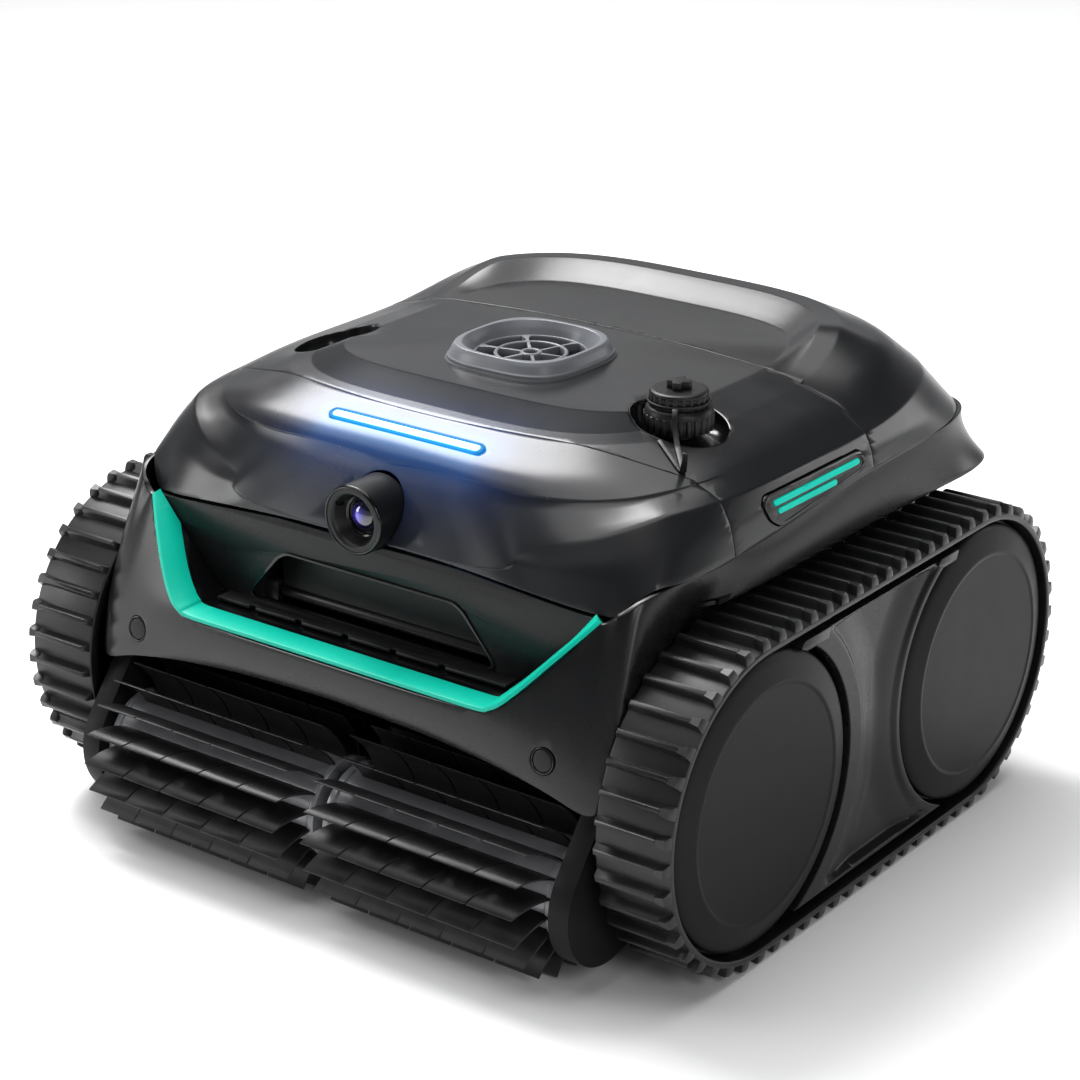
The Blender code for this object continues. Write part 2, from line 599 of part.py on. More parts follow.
loft("vent_ring", [squircle(38.6, 3.4, 259.4), squircle(38.6, 3.4, 261.2), squircle(37.6, 3.4, 262.0), squircle(33.8, 3.0, 267.2), squircle(32.2, 2.6, 267.4),
                   squircle(29.6, 2.0, 260.2), squircle(29.6, 2.0, 250.5), squircle(31.6, 2.0, 250.5), squircle(31.6, 2.0, 259.4)], GREY, cyclic=True)
boolean(mid, rod("vent_hole", "z", (0, VENT_Y), 32.4, 240, 280, None, True, 24))

SPOKES = 6
holes = []
for inner, outer_r in ((7.0, 18.4), (20.2, 27.4)):
    for k in range(SPOKES):
        mid_a = 2 * math.pi * (k + 0.5) / SPOKES + math.radians(12)
        out = []
        for r, sgn in ((inner, -1), (outer_r, 1)):
            half = math.pi / SPOKES - 0.8 / r
            for i in range(4):
                t = mid_a + sgn * half * (2 * i / 3 - 1)
                out.append((r * math.cos(t), VENT_Y + r * math.sin(t)))
        holes.append(out)
plate("vent_grille", [circle(0, VENT_Y, 29.2, 24), circle(0, VENT_Y, 5.4, 12)] + holes, "z", 255.0, 261.0, GREY)

turned("pump_duct", [(36.0, 248.0), (36.0, 150.0), (33.0, 150.0), (33.0, 248.0)], "z", (0, VENT_Y, 0), BOARD, steps=28)
turned("pump_motor", [(0.0, 224.0), (3.0, 224.0), (3.0, 209.0), (24.0, 209.0), (24.0, 156.0), (0.0, 156.0)], "z", (0, VENT_Y, 0), BOARD, steps=24, closed=False)
blades = []
BLADES = 6
for k in range(BLADES):
    base = 2 * math.pi * k / BLADES
    blades += [(9.0 * math.cos(base - 0.30), 9.0 * math.sin(base - 0.30)), (9.0 * math.cos(base), 9.0 * math.sin(base))]
    for r, turn in ((18.0, 0.32), (30.0, 0.72)):
        blades.append((r * math.cos(base + turn), r * math.sin(base + turn)))
    for r, turn in ((30.0, 0.79), (18.0, 0.46)):
        blades.append((r * math.cos(base + turn), r * math.sin(base + turn)))
    blades.append((9.0 * math.cos(base + 0.30), 9.0 * math.sin(base + 0.30)))
impeller = plate("impeller", [[(x, VENT_Y + y) for x, y in blades], circle(0, VENT_Y, 3.4, 12)], "z", 211.0, 222.0, GREY)
pivot(impeller, (0, VENT_Y, 216.0))

# ---------------------------------------------------------------- recesses in the middle cover, button, charging cap
for side, label in ((1, "right"), (-1, "left")):
    boolean(mid, rod("cup_hole", "z", (side * CUP_X, CUP_Y), CUP_R + 0.7, 225, 290, None, True, 20))
    bowl = [(8.0, 236.0), (14.0, 236.0), (20.0, 239.0), (CUP_R - 1.8, 249.0), (CUP_R - 1.8, 262.0), (CUP_R, 262.0), (CUP_R, 233.0)]
    if side > 0:
        # the charging socket stands up from this floor
        cup = turned("recess_cup_right", [(0.0, 247.6), (8.0, 247.6)] + bowl + [(0.0, 233.0)], "z", (CUP_X, CUP_Y, 0), SHELL, steps=20, closed=False)
    else:
        cup = turned("recess_cup_left", [(10.2, 236.0)] + bowl[1:] + [(10.2, 233.0)], "z", (-CUP_X, CUP_Y, 0), SHELL, steps=20)
    boolean(cup, hood_solid, "INTERSECT")
    settle(cup)
settle(mid)
button = turned("power_button", [(0.0, 241.0), (8.6, 241.0), (9.6, 240.0), (9.6, 231.0), (11.6, 231.0), (11.6, 229.4), (0.0, 229.4)], "z", (-CUP_X, CUP_Y, 0), BLACK, steps=24, closed=False)
pivot(button, (-CUP_X, CUP_Y, 236.0))

RIBS = 16
knurl = []
for i in range(RIBS):
    t = 2 * math.pi * i / RIBS
    for dt, r in ((0.0, 18.3), (0.11, 18.3), (0.14, 17.0), (0.24, 17.0)):
        knurl.append((CUP_X + r * math.cos(t + dt), CUP_Y - 1 + r * math.sin(t + dt)))
cap = plate("charge_cap", [knurl], "z", 249.0, 258.5, BLACK)
boolean(cap, rod("cap_neck", "z", (CUP_X, CUP_Y - 1), 13.4, 256.0, 269.5, None, True, 16), "UNION")
boolean(cap, box("cap_grip", CUP_X - 8, CUP_X + 8, CUP_Y - 3, CUP_Y + 1, 268.0, 274.5, None, True), "UNION")
boolean(cap, box("cap_grip_cross", CUP_X - 2, CUP_X + 2, CUP_Y - 9, CUP_Y + 7, 268.0, 274.5, None, True), "UNION")
settle(cap)
pivot(cap, (CUP_X, CUP_Y - 1, 256.0))
tether = turned("cap_tether", [(16.6, 262.0), (16.6, 259.6), (13.9, 259.6), (13.9, 262.0)], "z", (CUP_X, CUP_Y - 1, 0), RUBBER, steps=28)
boolean(tether, box("tether_strap", CUP_X - 2.4, CUP_X + 2.4, CUP_Y - 23.0, CUP_Y - 16.6, 259.8, 261.8, None, True), "UNION")
boolean(tether, box("tether_drop", CUP_X - 2.4, CUP_X + 2.4, CUP_Y - 23.0, CUP_Y - 21.0, 248.5, 261.8, None, True), "UNION")
settle(tether)

# ---------------------------------------------------------------- side badges
PANEL = [(-55, 222.5), (-51.5, 226.3), (36, 226.3), (40.5, 223.5), (40.5, 219.5), (37, 216.0), (-36, 208.6), (-42, 208.4), (-50.5, 214.0)]
LIGHT_BARS = [(-45.6, 222.3), (35.6, 222.3), (35.6, 219.7), (-43.0, 219.7), (-41.5, 217.4), (12.4, 217.4), (12.4, 215.0), (-42.0, 215.0), (-43.5, 216.4)]
skin = settle(hood_skin("badge_skin", -0.9, 2.0))
light_skin = settle(hood_skin("badge_light_skin", -1.5, 1.0))
grown = [(y + math.copysign(0.35, y + 7), z + math.copysign(0.35, z - 217.5)) for y, z in PANEL]
boolean(mid, plate("badge_cut", [grown], "x", 150, 190, None, True))
boolean(mid, plate("badge_cut_left", [grown], "x", -190, -150, None, True))
settle(mid)
panel = link("badge_panel_right", skin.data.copy(), BLACK)
boolean(panel, plate("badge_outline", [PANEL], "x", 150, 190, None, True), "INTERSECT")
settle(panel)
light = link("badge_light_right", light_skin.data.copy(), TEAL)
boolean(light, plate("badge_light_outline", [LIGHT_BARS], "x", 150, 190, None, True), "INTERSECT")
settle(light)
gap_bars = [(-46.2, 222.7), (36.1, 222.7), (36.1, 219.2), (12.9, 219.2), (12.9, 214.6), (-42.3, 214.6), (-44.1, 216.1)]
boolean(panel, plate("badge_light_cut", [gap_bars], "x", 150, 190, None, True))
settle(panel)
mirrored(panel, "badge_panel_left")
mirrored(light, "badge_light_left")

# ---------------------------------------------------------------- tracks, wheels, drive
def track_point(s, r):
    """Point at arc length s along the middle run, offset so that the bends have radius r."""
    straight = 2 * WHEELBASE_HALF
    bend = math.pi * BELT_OUT_R
    s %= 2 * (straight + bend)
    if s < straight:
        return -WHEELBASE_HALF + s, AXLE_Z - r
    s -= straight
    if s < bend:
        t = -math.pi / 2 + s / BELT_OUT_R
        return WHEELBASE_HALF + r * math.cos(t), AXLE_Z + r * math.sin(t)
    s -= bend
    if s < straight:
        return WHEELBASE_HALF - s, AXLE_Z + r
    s -= straight
    t = math.pi / 2 + s / BELT_OUT_R
    return -WHEELBASE_HALF + r * math.cos(t), AXLE_Z + r * math.sin(t)


LENGTH = 2 * (2 * WHEELBASE_HALF + math.pi * BELT_OUT_R)
PITCH = LENGTH / LUGS
outline = []
for i in range(LUGS):
    s = i * PITCH
    for ds, r in ((-2.6, BELT_OUT_R), (-1.7, LUG_R), (1.7, LUG_R), (2.6, BELT_OUT_R)):
        outline.append(track_point(s + ds, r))
inside = [track_point(LENGTH * i / 52.0, BELT_IN_R) for i in range(52)]
track = plate("track_right", [outline, inside], "x", TRACK_X0, TRACK_X1, RUBBER)
mirrored(track, "track_left")

for end, y in (("front", -WHEELBASE_HALF), ("rear", WHEELBASE_HALF)):
    wheel = turned(f"{end}_wheel_right", [(WHEEL_R, 206.4), (WHEEL_R, 173.0), (76.0, 173.0), (76.0, 190.0), (14.0, 190.0), (14.0, 176.0), (6.4, 176.0), (6.4, 205.0), (14.0, 205.0), (14.0, 194.0), (76.0, 194.0), (76.0, 206.4)], "z", (0, 0, 0), BLACK, steps=24)
    disc = turned(f"{end}_disc_right", [(0.0, DISC_X), (64.0, DISC_X), (77.4, 211.6), (DISC_R, 210.4), (DISC_R, 206.8), (0.0, 206.8)], "z", (0, 0, 0), BLACK, steps=24, closed=False)
    for obj in (wheel, disc):
        obj.data.transform(Matrix.Translation((0, y * MM, AXLE_Z * MM)) @ Matrix(((0, 0, 1, 0), (1, 0, 0, 0), (0, 1, 0, 0), (0, 0, 0, 1))))
        left = mirrored(obj, obj.name.replace("right", "left"))
        pivot(obj, (192, y, AXLE_Z))
        pivot(left, (-192, y, AXLE_Z))


def gear_outline(cy, cz, teeth, r, module, start, thick=0.40):
    pts = []
    pitch = 2 * math.pi / teeth
    for i in range(teeth):
        t = start + i * pitch
        root = thick * 0.5 + 0.09
        tip = thick * 0.5 - 0.09
        for k, rr in ((-root, r - 1.15 * module), (-tip, r + 0.75 * module), (tip, r + 0.75 * module), (root, r - 1.15 * module)):
            pts.append((cy + rr * math.cos(t + k * pitch), cz + rr * math.sin(t + k * pitch)))
    return pts


CENTRES = math.hypot(BRUSH_Y + WHEELBASE_HALF, BRUSH_Z - AXLE_Z)
MODULE = 2 * CENTRES / (GEAR_TEETH + BRUSH_TEETH)
R_GEAR, R_BRUSH = MODULE * GEAR_TEETH / 2, MODULE * BRUSH_TEETH / 2
TO_BRUSH = math.atan2(BRUSH_Z - AXLE_Z, BRUSH_Y + WHEELBASE_HALF)
# a tooth of the drive gear points at a space of the brush gear
gear = plate("drive_gear_right", [gear_outline(-WHEELBASE_HALF, AXLE_Z, GEAR_TEETH, R_GEAR, MODULE, TO_BRUSH)], "x", 156.6, 161.4, GREY)
boolean(gear, rod("drive_shaft", "x", (-WHEELBASE_HALF, AXLE_Z), 6.0, 139.0, 204.5, None, True, 24), "UNION")
settle(gear)
brush_gear = plate("brush_gear_right", [gear_outline(BRUSH_Y, BRUSH_Z, BRUSH_TEETH, R_BRUSH, MODULE, TO_BRUSH + math.pi + math.pi / BRUSH_TEETH), circle(BRUSH_Y, BRUSH_Z, 5.4, 16)], "x", 156.6, 161.4, GREY)

cover_out = hull_of_two((-WHEELBASE_HALF, AXLE_Z), 60.0, (BRUSH_Y, BRUSH_Z), 34.0, 10)
cover_in = hull_of_two((-WHEELBASE_HALF, AXLE_Z), 57.0, (BRUSH_Y, BRUSH_Z), 31.0, 10)
cover = plate("gear_cover_right", [cover_out], "x", 152.6, 165.2, BLACK)
boolean(cover, plate("gear_cover_inside", [cover_in], "x", 155.2, 162.8, None, True))
boolean(cover, rod("gear_cover_shaft", "x", (-WHEELBASE_HALF, AXLE_Z), 6.4, 150, 170, None, True, 24))
boolean(cover, rod("gear_cover_brush", "x", (BRUSH_Y, BRUSH_Z), 5.5, 150, 164, None, True, 20))
settle(cover)

motor = rod("drive_motor_right", "x", (-WHEELBASE_HALF, AXLE_Z), 17.5, 78.0, 138.0, BOARD, sides=24)
axle = rod("rear_axle_right", "x", (WHEELBASE_HALF, AXLE_Z), 6.0, 146.0, 204.5, STEEL, sides=24)
boolean(axle, rod("axle_flange", "x", (WHEELBASE_HALF, AXLE_Z), 11.0, 145.0, 148.6, None, True, 24), "UNION")
settle(axle)

# side frame between the wheels, on a hollow arm from the tub
def concentric(cy, r, z0, z1, n, sign):
    """Arc about an axle between two heights."""
    a, b = math.asin((z0 - AXLE_Z) / r), math.asin((z1 - AXLE_Z) / r)
    return [(cy + sign * r * math.cos(a + (b - a) * i / n), AXLE_Z + r * math.sin(a + (b - a) * i / n)) for i in range(n + 1)]


front_arc = concentric(-WHEELBASE_HALF, 82.4, 165.5, 14.5, 12, 1)
rear_arc = concentric(WHEELBASE_HALF, 80.9, 14.5, 165.5, 12, -1)
frame = plate("side_frame_right", [front_arc + rear_arc], "x", 203.5, 212.4, LOWER)
PANEL_SIDE = concentric(-WHEELBASE_HALF, 99.0, 160.0, 20.0, 8, 1) + concentric(WHEELBASE_HALF, 86.0, 20.0, 160.0, 8, -1)
boolean(frame, plate("side_panel_cut", [PANEL_SIDE], "x", 209.9, 220, None, True))
boolean(frame, box("side_arm", 152.4, 205.0, -20, 20, 45, 135, None, True), "UNION")
boolean(frame, box("side_arm_inside", 150, 200.0, -16, 16, 49, 131, None, True))
settle(frame)

# ---------------------------------------------------------------- brushes
FINS = 12
star = []
for i in range(FINS):
    t = 2 * math.pi * i / FINS
    for dt, r in ((-0.045, 24.0), (-0.012, BRUSH_R), (0.012, BRUSH_R), (0.045, 24.0)):
        star.append((BRUSH_Y + r * math.cos(t + dt), BRUSH_Z + r * math.sin(t + dt)))
brush = plate("brush_roller_right", [star], "x", BRUSH_X0, BRUSH_X1, BRISTLE)
boolean(brush, rod("brush_shaft", "x", (BRUSH_Y, BRUSH_Z), 5.0, BRUSH_X1 - 8, 162.0, None, True, 20), "UNION")
boolean(brush, rod("brush_socket", "x", (BRUSH_Y, BRUSH_Z), 4.4, 0, 18, None, True, 20))
settle(brush)

bracket = plate("brush_bracket", [hull_of_two((BRUSH_Y, BRUSH_Z), 13.0, (-137.4, 79.0), 4.4, 10)], "x", -2.4, 2.4, BLACK)
boolean(bracket, rod("brush_pin", "x", (BRUSH_Y, BRUSH_Z), 4.0, -15, 15, None, True, 20), "UNION")
settle(bracket)

for obj in (gear, brush_gear, cover, motor, axle, frame, brush):
    left = mirrored(obj, obj.name.replace("right", "left"))
    at = {"drive_gear_right": (159, -WHEELBASE_HALF, AXLE_Z), "brush_gear_right": (159, BRUSH_Y, BRUSH_Z), "brush_roller_right": (77, BRUSH_Y, BRUSH_Z)}.get(obj.name)
    if at:
        pivot(obj, at)
        pivot(left, (-at[0], at[1], at[2]))

# ---------------------------------------------------------------- inside the tub
battery = box("battery_pack", -95, 95, -78, 46, 46.5, 88, GREY)
bevel(battery, 4.0)
control = box("control_box", -60, 60, -112, -58, 116, 178, BOARD)
bevel(control, 3.0)

DUCT = [(-117.0, 20.5), (-117.0, 44.0), (84.0, 44.0), (84.0, 75.5), (116.0, 75.5), (116.0, 25.6), (-91.6, 25.6), (-91.6, 20.5)]
DUCT_IN = [(-115.0, 10.0), (-115.0, 42.0), (86.0, 42.0), (86.0, 80.0), (114.0, 80.0), (114.0, 27.6), (-93.6, 27.6), (-93.6, 10.0)]
duct = plate("suction_duct", [DUCT], "x", -45, 45, BOARD)
boolean(duct, plate("suction_duct_inside", [DUCT_IN], "x", -43, 43, None, True))
settle(duct)

bx0, bx1, by0, by1, bz0, bz1 = BASKET
basket = box("filter_basket", bx0, bx1, by0, by1, bz0, bz1, GREY)
boolean(basket, box("basket_inside", bx0 + 2, bx1 - 2, by0 + 2, by1 - 2, bz0 + 2, bz1 + 10, None, True))
for k in range(4):
    x0 = -82.5 + 43 * k
    boolean(basket, box("basket_window", x0, x0 + 36, by0 - 5, by1 + 5, bz0 + 40, bz1 - 40, None, True))
boolean(basket, box("basket_inlet", -41, 41, 88, 112, bz0 - 5, bz0 + 5, None, True))
settle(basket)
for side in (-1, 1):
    boolean(basket, box("flap_lug", *sorted((side * 37.5, side * 41.5)), 112.5, 120.5, bz0 + 1, bz0 + 8.5, None, True), "UNION")
boolean(basket, box("basket_handle", -14, 14, by0 + 0.5, by1 - 0.5, bz1 - 6, bz1 + 3, None, True), "UNION")
boolean(basket, rod("basket_flap_bore", "x", (116.5, bz0 + 5.0), 1.9, -39.5, 39.5, None, True, 12))
settle(basket)
inlet_flap = box("basket_flap", -36.5, 36.5, 86.0, 116.5, bz0 + 2.4, bz0 + 3.8, TEAL)
boolean(inlet_flap, rod("basket_flap_barrel", "x", (116.5, bz0 + 5.0), 2.4, -36.5, 36.5, None, True, 14), "UNION")
boolean(inlet_flap, rod("basket_flap_pin", "x", (116.5, bz0 + 5.0), 1.5, -38.9, 38.9, None, True, 12), "UNION")
settle(inlet_flap)
pivot(inlet_flap, (0, 116.5, bz0 + 5.0))
pivot(lid, (0, *LID_AXIS))

for leftover in (hood, hood_solid):
    leftover.hide_render = True
for obj in PARTS.objects:
    smooth(obj)
    obj.location.y += ORIGIN_Y * MM
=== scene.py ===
import math
import random

import bmesh
import bpy
from mathutils import Matrix, Vector


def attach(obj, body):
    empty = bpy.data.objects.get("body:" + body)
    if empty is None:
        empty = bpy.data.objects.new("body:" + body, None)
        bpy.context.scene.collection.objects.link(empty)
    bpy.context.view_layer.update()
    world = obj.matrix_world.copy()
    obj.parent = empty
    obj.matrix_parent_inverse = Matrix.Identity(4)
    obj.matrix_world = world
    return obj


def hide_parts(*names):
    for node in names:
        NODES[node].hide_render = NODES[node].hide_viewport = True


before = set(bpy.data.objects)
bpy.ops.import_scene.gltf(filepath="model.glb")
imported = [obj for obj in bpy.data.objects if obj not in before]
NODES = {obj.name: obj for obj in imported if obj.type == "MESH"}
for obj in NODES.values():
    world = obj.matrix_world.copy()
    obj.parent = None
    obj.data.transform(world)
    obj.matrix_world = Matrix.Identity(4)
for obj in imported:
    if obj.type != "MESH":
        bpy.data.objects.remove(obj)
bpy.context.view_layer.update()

MM = 0.001
ORIGIN_Y = 8.5
SCENE = bpy.context.scene.collection

# ------------------------------------------------------------------ dimensions, as in the design
WHEELBASE_HALF, AXLE_Z = 107.0, 90.0
BELT_IN_R, BELT_OUT_R, LUG_R, LUGS = 81.0, 84.6, 90.0, 66
TRACK_X0, TRACK_X1 = 170.2, 214.4
BRUSH_Y, BRUSH_Z, BRUSH_R = -172.0, 48.0, 48.0
ARCH_R = 51.5
TUB_X, FLOOR_Z, WALL = 152.0, 22.0, 3.0
HOOD_Y0 = 20.0
LID_SEAM_Y = 50.0
LID_AXIS = (199.0, 211.0)
VENT_Y = -16.5
CUP_X, CUP_Y, CUP_R = 115.0, -43.0, 26.0
CAMERA_Z, CAMERA_R = 209.0, 18.5
LED_AT, LED_TILT = (0.0, -123.4, 245.3), 25.5


# ------------------------------------------------------------------ materials
def node(tree, kind, **values):
    made = tree.nodes.new(kind)
    for key, value in values.items():
        if key.startswith("in_"):
            made.inputs[int(key[3:]) if key[3:].isdigit() else key[3:].replace("_", " ")].default_value = value
        else:
            setattr(made, key, value)
    return made


def noise(tree, coords, scale, detail=3.0, rough=0.55):
    made = node(tree, "ShaderNodeTexNoise")
    made.inputs["Scale"].default_value = scale
    made.inputs["Detail"].default_value = detail
    made.inputs["Roughness"].default_value = rough
    tree.links.new(coords, made.inputs["Vector"])
    return made.outputs["Fac"]


def ranged(tree, value, a, b, lo, hi):
    made = node(tree, "ShaderNodeMapRange")
    for key, v in (("From Min", a), ("From Max", b), ("To Min", lo), ("To Max", hi)):
        made.inputs[key].default_value = v
    tree.links.new(value, made.inputs["Value"])
    return made.outputs["Result"]


def math_node(tree, operation, a, b=None):
    made = node(tree, "ShaderNodeMath", operation=operation)
    for i, v in enumerate((a, b)):
        if v is None:
            continue
        if isinstance(v, (int, float)):
            made.inputs[i].default_value = v
        else:
            tree.links.new(v, made.inputs[i])
    return made.outputs[0]


def mix_color(tree, factor, a, b):
    made = node(tree, "ShaderNodeMix", data_type="RGBA")
    tree.links.new(factor, made.inputs["Factor"])
    for socket, v in ((made.inputs[6], a), (made.inputs[7], b)):
        if isinstance(v, (tuple, list)):
            socket.default_value = (*v[:3], 1.0)
        else:
            tree.links.new(v, socket)
    return made.outputs[2]


def surface(name, color, rough, spread=0.05, grain=0.12, grain_scale=1500.0, specular=0.5, metallic=0.0, coat=0.0,
            wear_and_edge_highlight=0.25, wear_and_highlight_color=None, tint=0.12, smudge=0.0, brushed=False, painted_light=False):
    """Moulded plastic, rubber or metal: fine grain in the bump, broad roughness drift, paler edges that are partly wear
    and partly painted highlight, and optional painted LED glow and painted shade.
    """
    mat = bpy.data.materials.new(name)
    mat.use_nodes = True
    tree = mat.node_tree
    bsdf = tree.nodes["Principled BSDF"]
    bsdf.inputs["Metallic"].default_value = metallic
    bsdf.inputs["Specular IOR Level"].default_value = specular
    if coat:
        bsdf.inputs["Coat Weight"].default_value = coat
        bsdf.inputs["Coat Roughness"].default_value = 0.12
    where = node(tree, "ShaderNodeTexCoord").outputs["Object"]
    broad = noise(tree, where, 9.0, 4.0)
    middle = noise(tree, where, 70.0, 5.0, 0.6)
    blotch = ranged(tree, broad, 0.35, 0.65, 0.0, 1.0)
    dark = tuple(c * (1 - tint) for c in color)
    light = tuple(min(1.0, c * (1 + tint)) for c in color)
    shade = mix_color(tree, blotch, dark, light)
    if wear_and_edge_highlight:
        # paler edges by pointiness: partly wear, partly painted highlight along the edges
        edge = node(tree, "ShaderNodeNewGeometry").outputs["Pointiness"]
        worn_and_highlit = ranged(tree, edge, 0.52, 0.62, 0.0, wear_and_edge_highlight)
        worn_and_highlit = math_node(tree, "MULTIPLY", worn_and_highlit, ranged(tree, middle, 0.35, 0.65, 0.3, 1.0))
        shade = mix_color(tree, worn_and_highlit, shade, wear_and_highlight_color or tuple(min(1.0, 0.03 + c * 2.2) for c in color))
    tree.links.new(shade, bsdf.inputs["Base Color"])
    mixed = math_node(tree, "ADD", math_node(tree, "MULTIPLY", broad, 0.6), math_node(tree, "MULTIPLY", middle, 0.4))
    tree.links.new(ranged(tree, mixed, 0.35, 0.65, rough - spread, rough + spread), bsdf.inputs["Roughness"])
    coords = where
    if brushed:
        mapping = node(tree, "ShaderNodeMapping")
        mapping.inputs["Scale"].default_value = (0.04, 1.0, 1.0)
        tree.links.new(where, mapping.inputs["Vector"])
        coords = mapping.outputs["Vector"]
    fine = noise(tree, coords, grain_scale, 2.0)
    bump = node(tree, "ShaderNodeBump")
    bump.inputs["Strength"].default_value = grain
    bump.inputs["Distance"].default_value = 0.0002
    tree.links.new(fine, bump.inputs["Height"])
    tree.links.new(bump.outputs["Normal"], bsdf.inputs["Normal"])
    # painted light: position-based painted LED glow and painted shade, set up below
    if painted_light:
        parts = node(tree, "ShaderNodeSeparateXYZ")
        tree.links.new(where, parts.inputs[0])
        across = math_node(tree, "ABSOLUTE", parts.outputs[0])
        ahead = math_node(tree, "MAXIMUM", math_node(tree, "SUBTRACT", (HOOD_Y0 + ORIGIN_Y) * MM, parts.outputs[1]), 0.0)
        # painted shade: a crescent band in front of the top plateau gets a lower specular level so that it reads darker
        inside = []
        for half, reach, power in ((107.0, 98.0, 4.4), (119.0, 122.0, 3.9)):
            u = math_node(tree, "POWER", math_node(tree, "DIVIDE", across, half * MM), power)
            v = math_node(tree, "POWER", math_node(tree, "DIVIDE", ahead, reach * MM), power)
            inside.append(math_node(tree, "ADD", u, v))
        beyond = ranged(tree, inside[0], 0.985, 1.015, 0.0, 1.0)
        within = ranged(tree, inside[1], 0.985, 1.015, 1.0, 0.0)
        front_part = ranged(tree, ahead, 0.030, 0.062, 0.0, 1.0)
        painted_shade_crescent = math_node(tree, "MULTIPLY", math_node(tree, "MULTIPLY", beyond, within), front_part)
        tree.links.new(ranged(tree, painted_shade_crescent, 0.0, 1.0, specular, specular * 0.12), bsdf.inputs["Specular IOR Level"])
        # painted light: blue LED glow painted as emission, fading with distance from the light bar, cyan close to it
        along = math_node(tree, "MAXIMUM", math_node(tree, "SUBTRACT", math_node(tree, "ABSOLUTE", parts.outputs[0]), 0.044), 0.0)
        dy = math_node(tree, "SUBTRACT", parts.outputs[1], (LED_AT[1] + ORIGIN_Y) * MM)
        dz = math_node(tree, "SUBTRACT", parts.outputs[2], LED_AT[2] * MM)
        dz = math_node(tree, "ADD", dz, math_node(tree, "MULTIPLY", math_node(tree, "MAXIMUM", dz, 0.0), 1.4))
        joined = node(tree, "ShaderNodeCombineXYZ")
        for i, v in enumerate((along, dy, dz)):
            tree.links.new(v, joined.inputs[i])
        length = node(tree, "ShaderNodeVectorMath", operation="LENGTH")
        tree.links.new(joined.outputs[0], length.inputs[0])
        far = math_node(tree, "EXPONENT", math_node(tree, "MULTIPLY", length.outputs["Value"], -1 / 0.0115))
        near = math_node(tree, "EXPONENT", math_node(tree, "MULTIPLY", length.outputs["Value"], -1 / 0.0048))
        painted_blue_glow = mix_color(tree, far, (0, 0, 0), (0.004, 0.11, 0.62))
        painted_cyan_glow = mix_color(tree, near, (0, 0, 0), (0.01, 0.56, 0.95))
        both = node(tree, "ShaderNodeMix", data_type="RGBA", blend_type="ADD")
        both.inputs["Factor"].default_value = 1.0
        tree.links.new(painted_blue_glow, both.inputs[6])
        tree.links.new(painted_cyan_glow, both.inputs[7])
        tree.links.new(both.outputs[2], bsdf.inputs["Emission Color"])
        bsdf.inputs["Emission Strength"].default_value = 1.0
    return mat


GRAPHITE = surface("graphite_moulded", (0.011, 0.0115, 0.0125), 0.25, 0.03, 0.04, 2200.0, specular=0.46, wear_and_edge_highlight=0.0)
# graphite with painted LED glow and a painted darker crescent, for the visor and middle cover
GRAPHITE_PAINTED_LIGHT = surface("graphite_moulded_painted_light", (0.011, 0.0115, 0.0125), 0.25, 0.03, 0.04, 2200.0, specular=0.46, wear_and_edge_highlight=0.0, painted_light=True)
DARK = surface("dark_moulded", (0.007, 0.0072, 0.0078), 0.27, 0.04, 0.05, 2000.0, specular=0.36, wear_and_edge_highlight=0.2)
BLACK = surface("black_moulded", (0.0045, 0.0045, 0.005), 0.38, 0.05, 0.14, 1600.0, specular=0.28, wear_and_edge_highlight=0.25, wear_and_highlight_color=(0.05, 0.05, 0.055))
GLOSS = surface("black_gloss", (0.003, 0.003, 0.0035), 0.13, 0.04, 0.02, 900.0, specular=0.42, wear_and_edge_highlight=0.2, wear_and_highlight_color=(0.06, 0.06, 0.065))
MATTE = surface("disc_matte", (0.007, 0.007, 0.0075), 0.40, 0.04, 0.16, 1500.0, specular=0.10, wear_and_edge_highlight=0.1)
SIDE = surface("side_moulded", (0.007, 0.0072, 0.0078), 0.28, 0.04, 0.05, 2000.0, specular=0.22, wear_and_edge_highlight=0.15)
RUBBER = surface("track_rubber", (0.005, 0.005, 0.0055), 0.34, 0.08, 0.24, 1100.0, specular=0.36, wear_and_edge_highlight=0.5, wear_and_highlight_color=(0.06, 0.06, 0.065), tint=0.2)
BRUSH = surface("brush_rubber", (0.0055, 0.0055, 0.006), 0.34, 0.06, 0.12, 1300.0, specular=0.24, wear_and_edge_highlight=0.3, wear_and_highlight_color=(0.06, 0.06, 0.065), tint=0.15)
CORE = surface("brush_core", (0.15, 0.152, 0.165), 0.22, 0.05, 0.08, 900.0, specular=0.75, wear_and_edge_highlight=0.1)
GREY = surface("grey_moulded", (0.135, 0.142, 0.156), 0.32, 0.05, 0.12, 1500.0, specular=0.5, wear_and_edge_highlight=0.5, wear_and_highlight_color=(0.42, 0.43, 0.46))
TEAL = surface("teal_moulded", (0.0, 0.44, 0.315), 0.34, 0.05, 0.06, 1600.0, specular=0.25, wear_and_edge_highlight=0.08, wear_and_highlight_color=(0.2, 0.8, 0.65), tint=0.04)
BADGE = surface("badge_light_teal", (0.0, 0.70, 0.54), 0.36, 0.05, 0.05, 1600.0, specular=0.12, wear_and_edge_highlight=0.05, wear_and_highlight_color=(0.2, 0.85, 0.7), tint=0.04)
# the light bar's thin frame: dark teal with the painted LED glow, as a painted cyan halo
PAINTED_HALO = surface("light_bar_frame_painted_halo", (0.006, 0.02, 0.03), 0.45, 0.03, 0.04, 2200.0, specular=0.05, wear_and_edge_highlight=0.0, painted_light=True)
STEEL = surface("ground_steel", (0.55, 0.56, 0.57), 0.28, 0.06, 0.3, 900.0, metallic=1.0, wear_and_edge_highlight=0.0, brushed=True, tint=0.06)
PUMP = surface("glass_filled_plastic", (0.045, 0.045, 0.05), 0.5, 0.06, 0.35, 700.0, specular=0.4, wear_and_edge_highlight=0.25, tint=0.2)


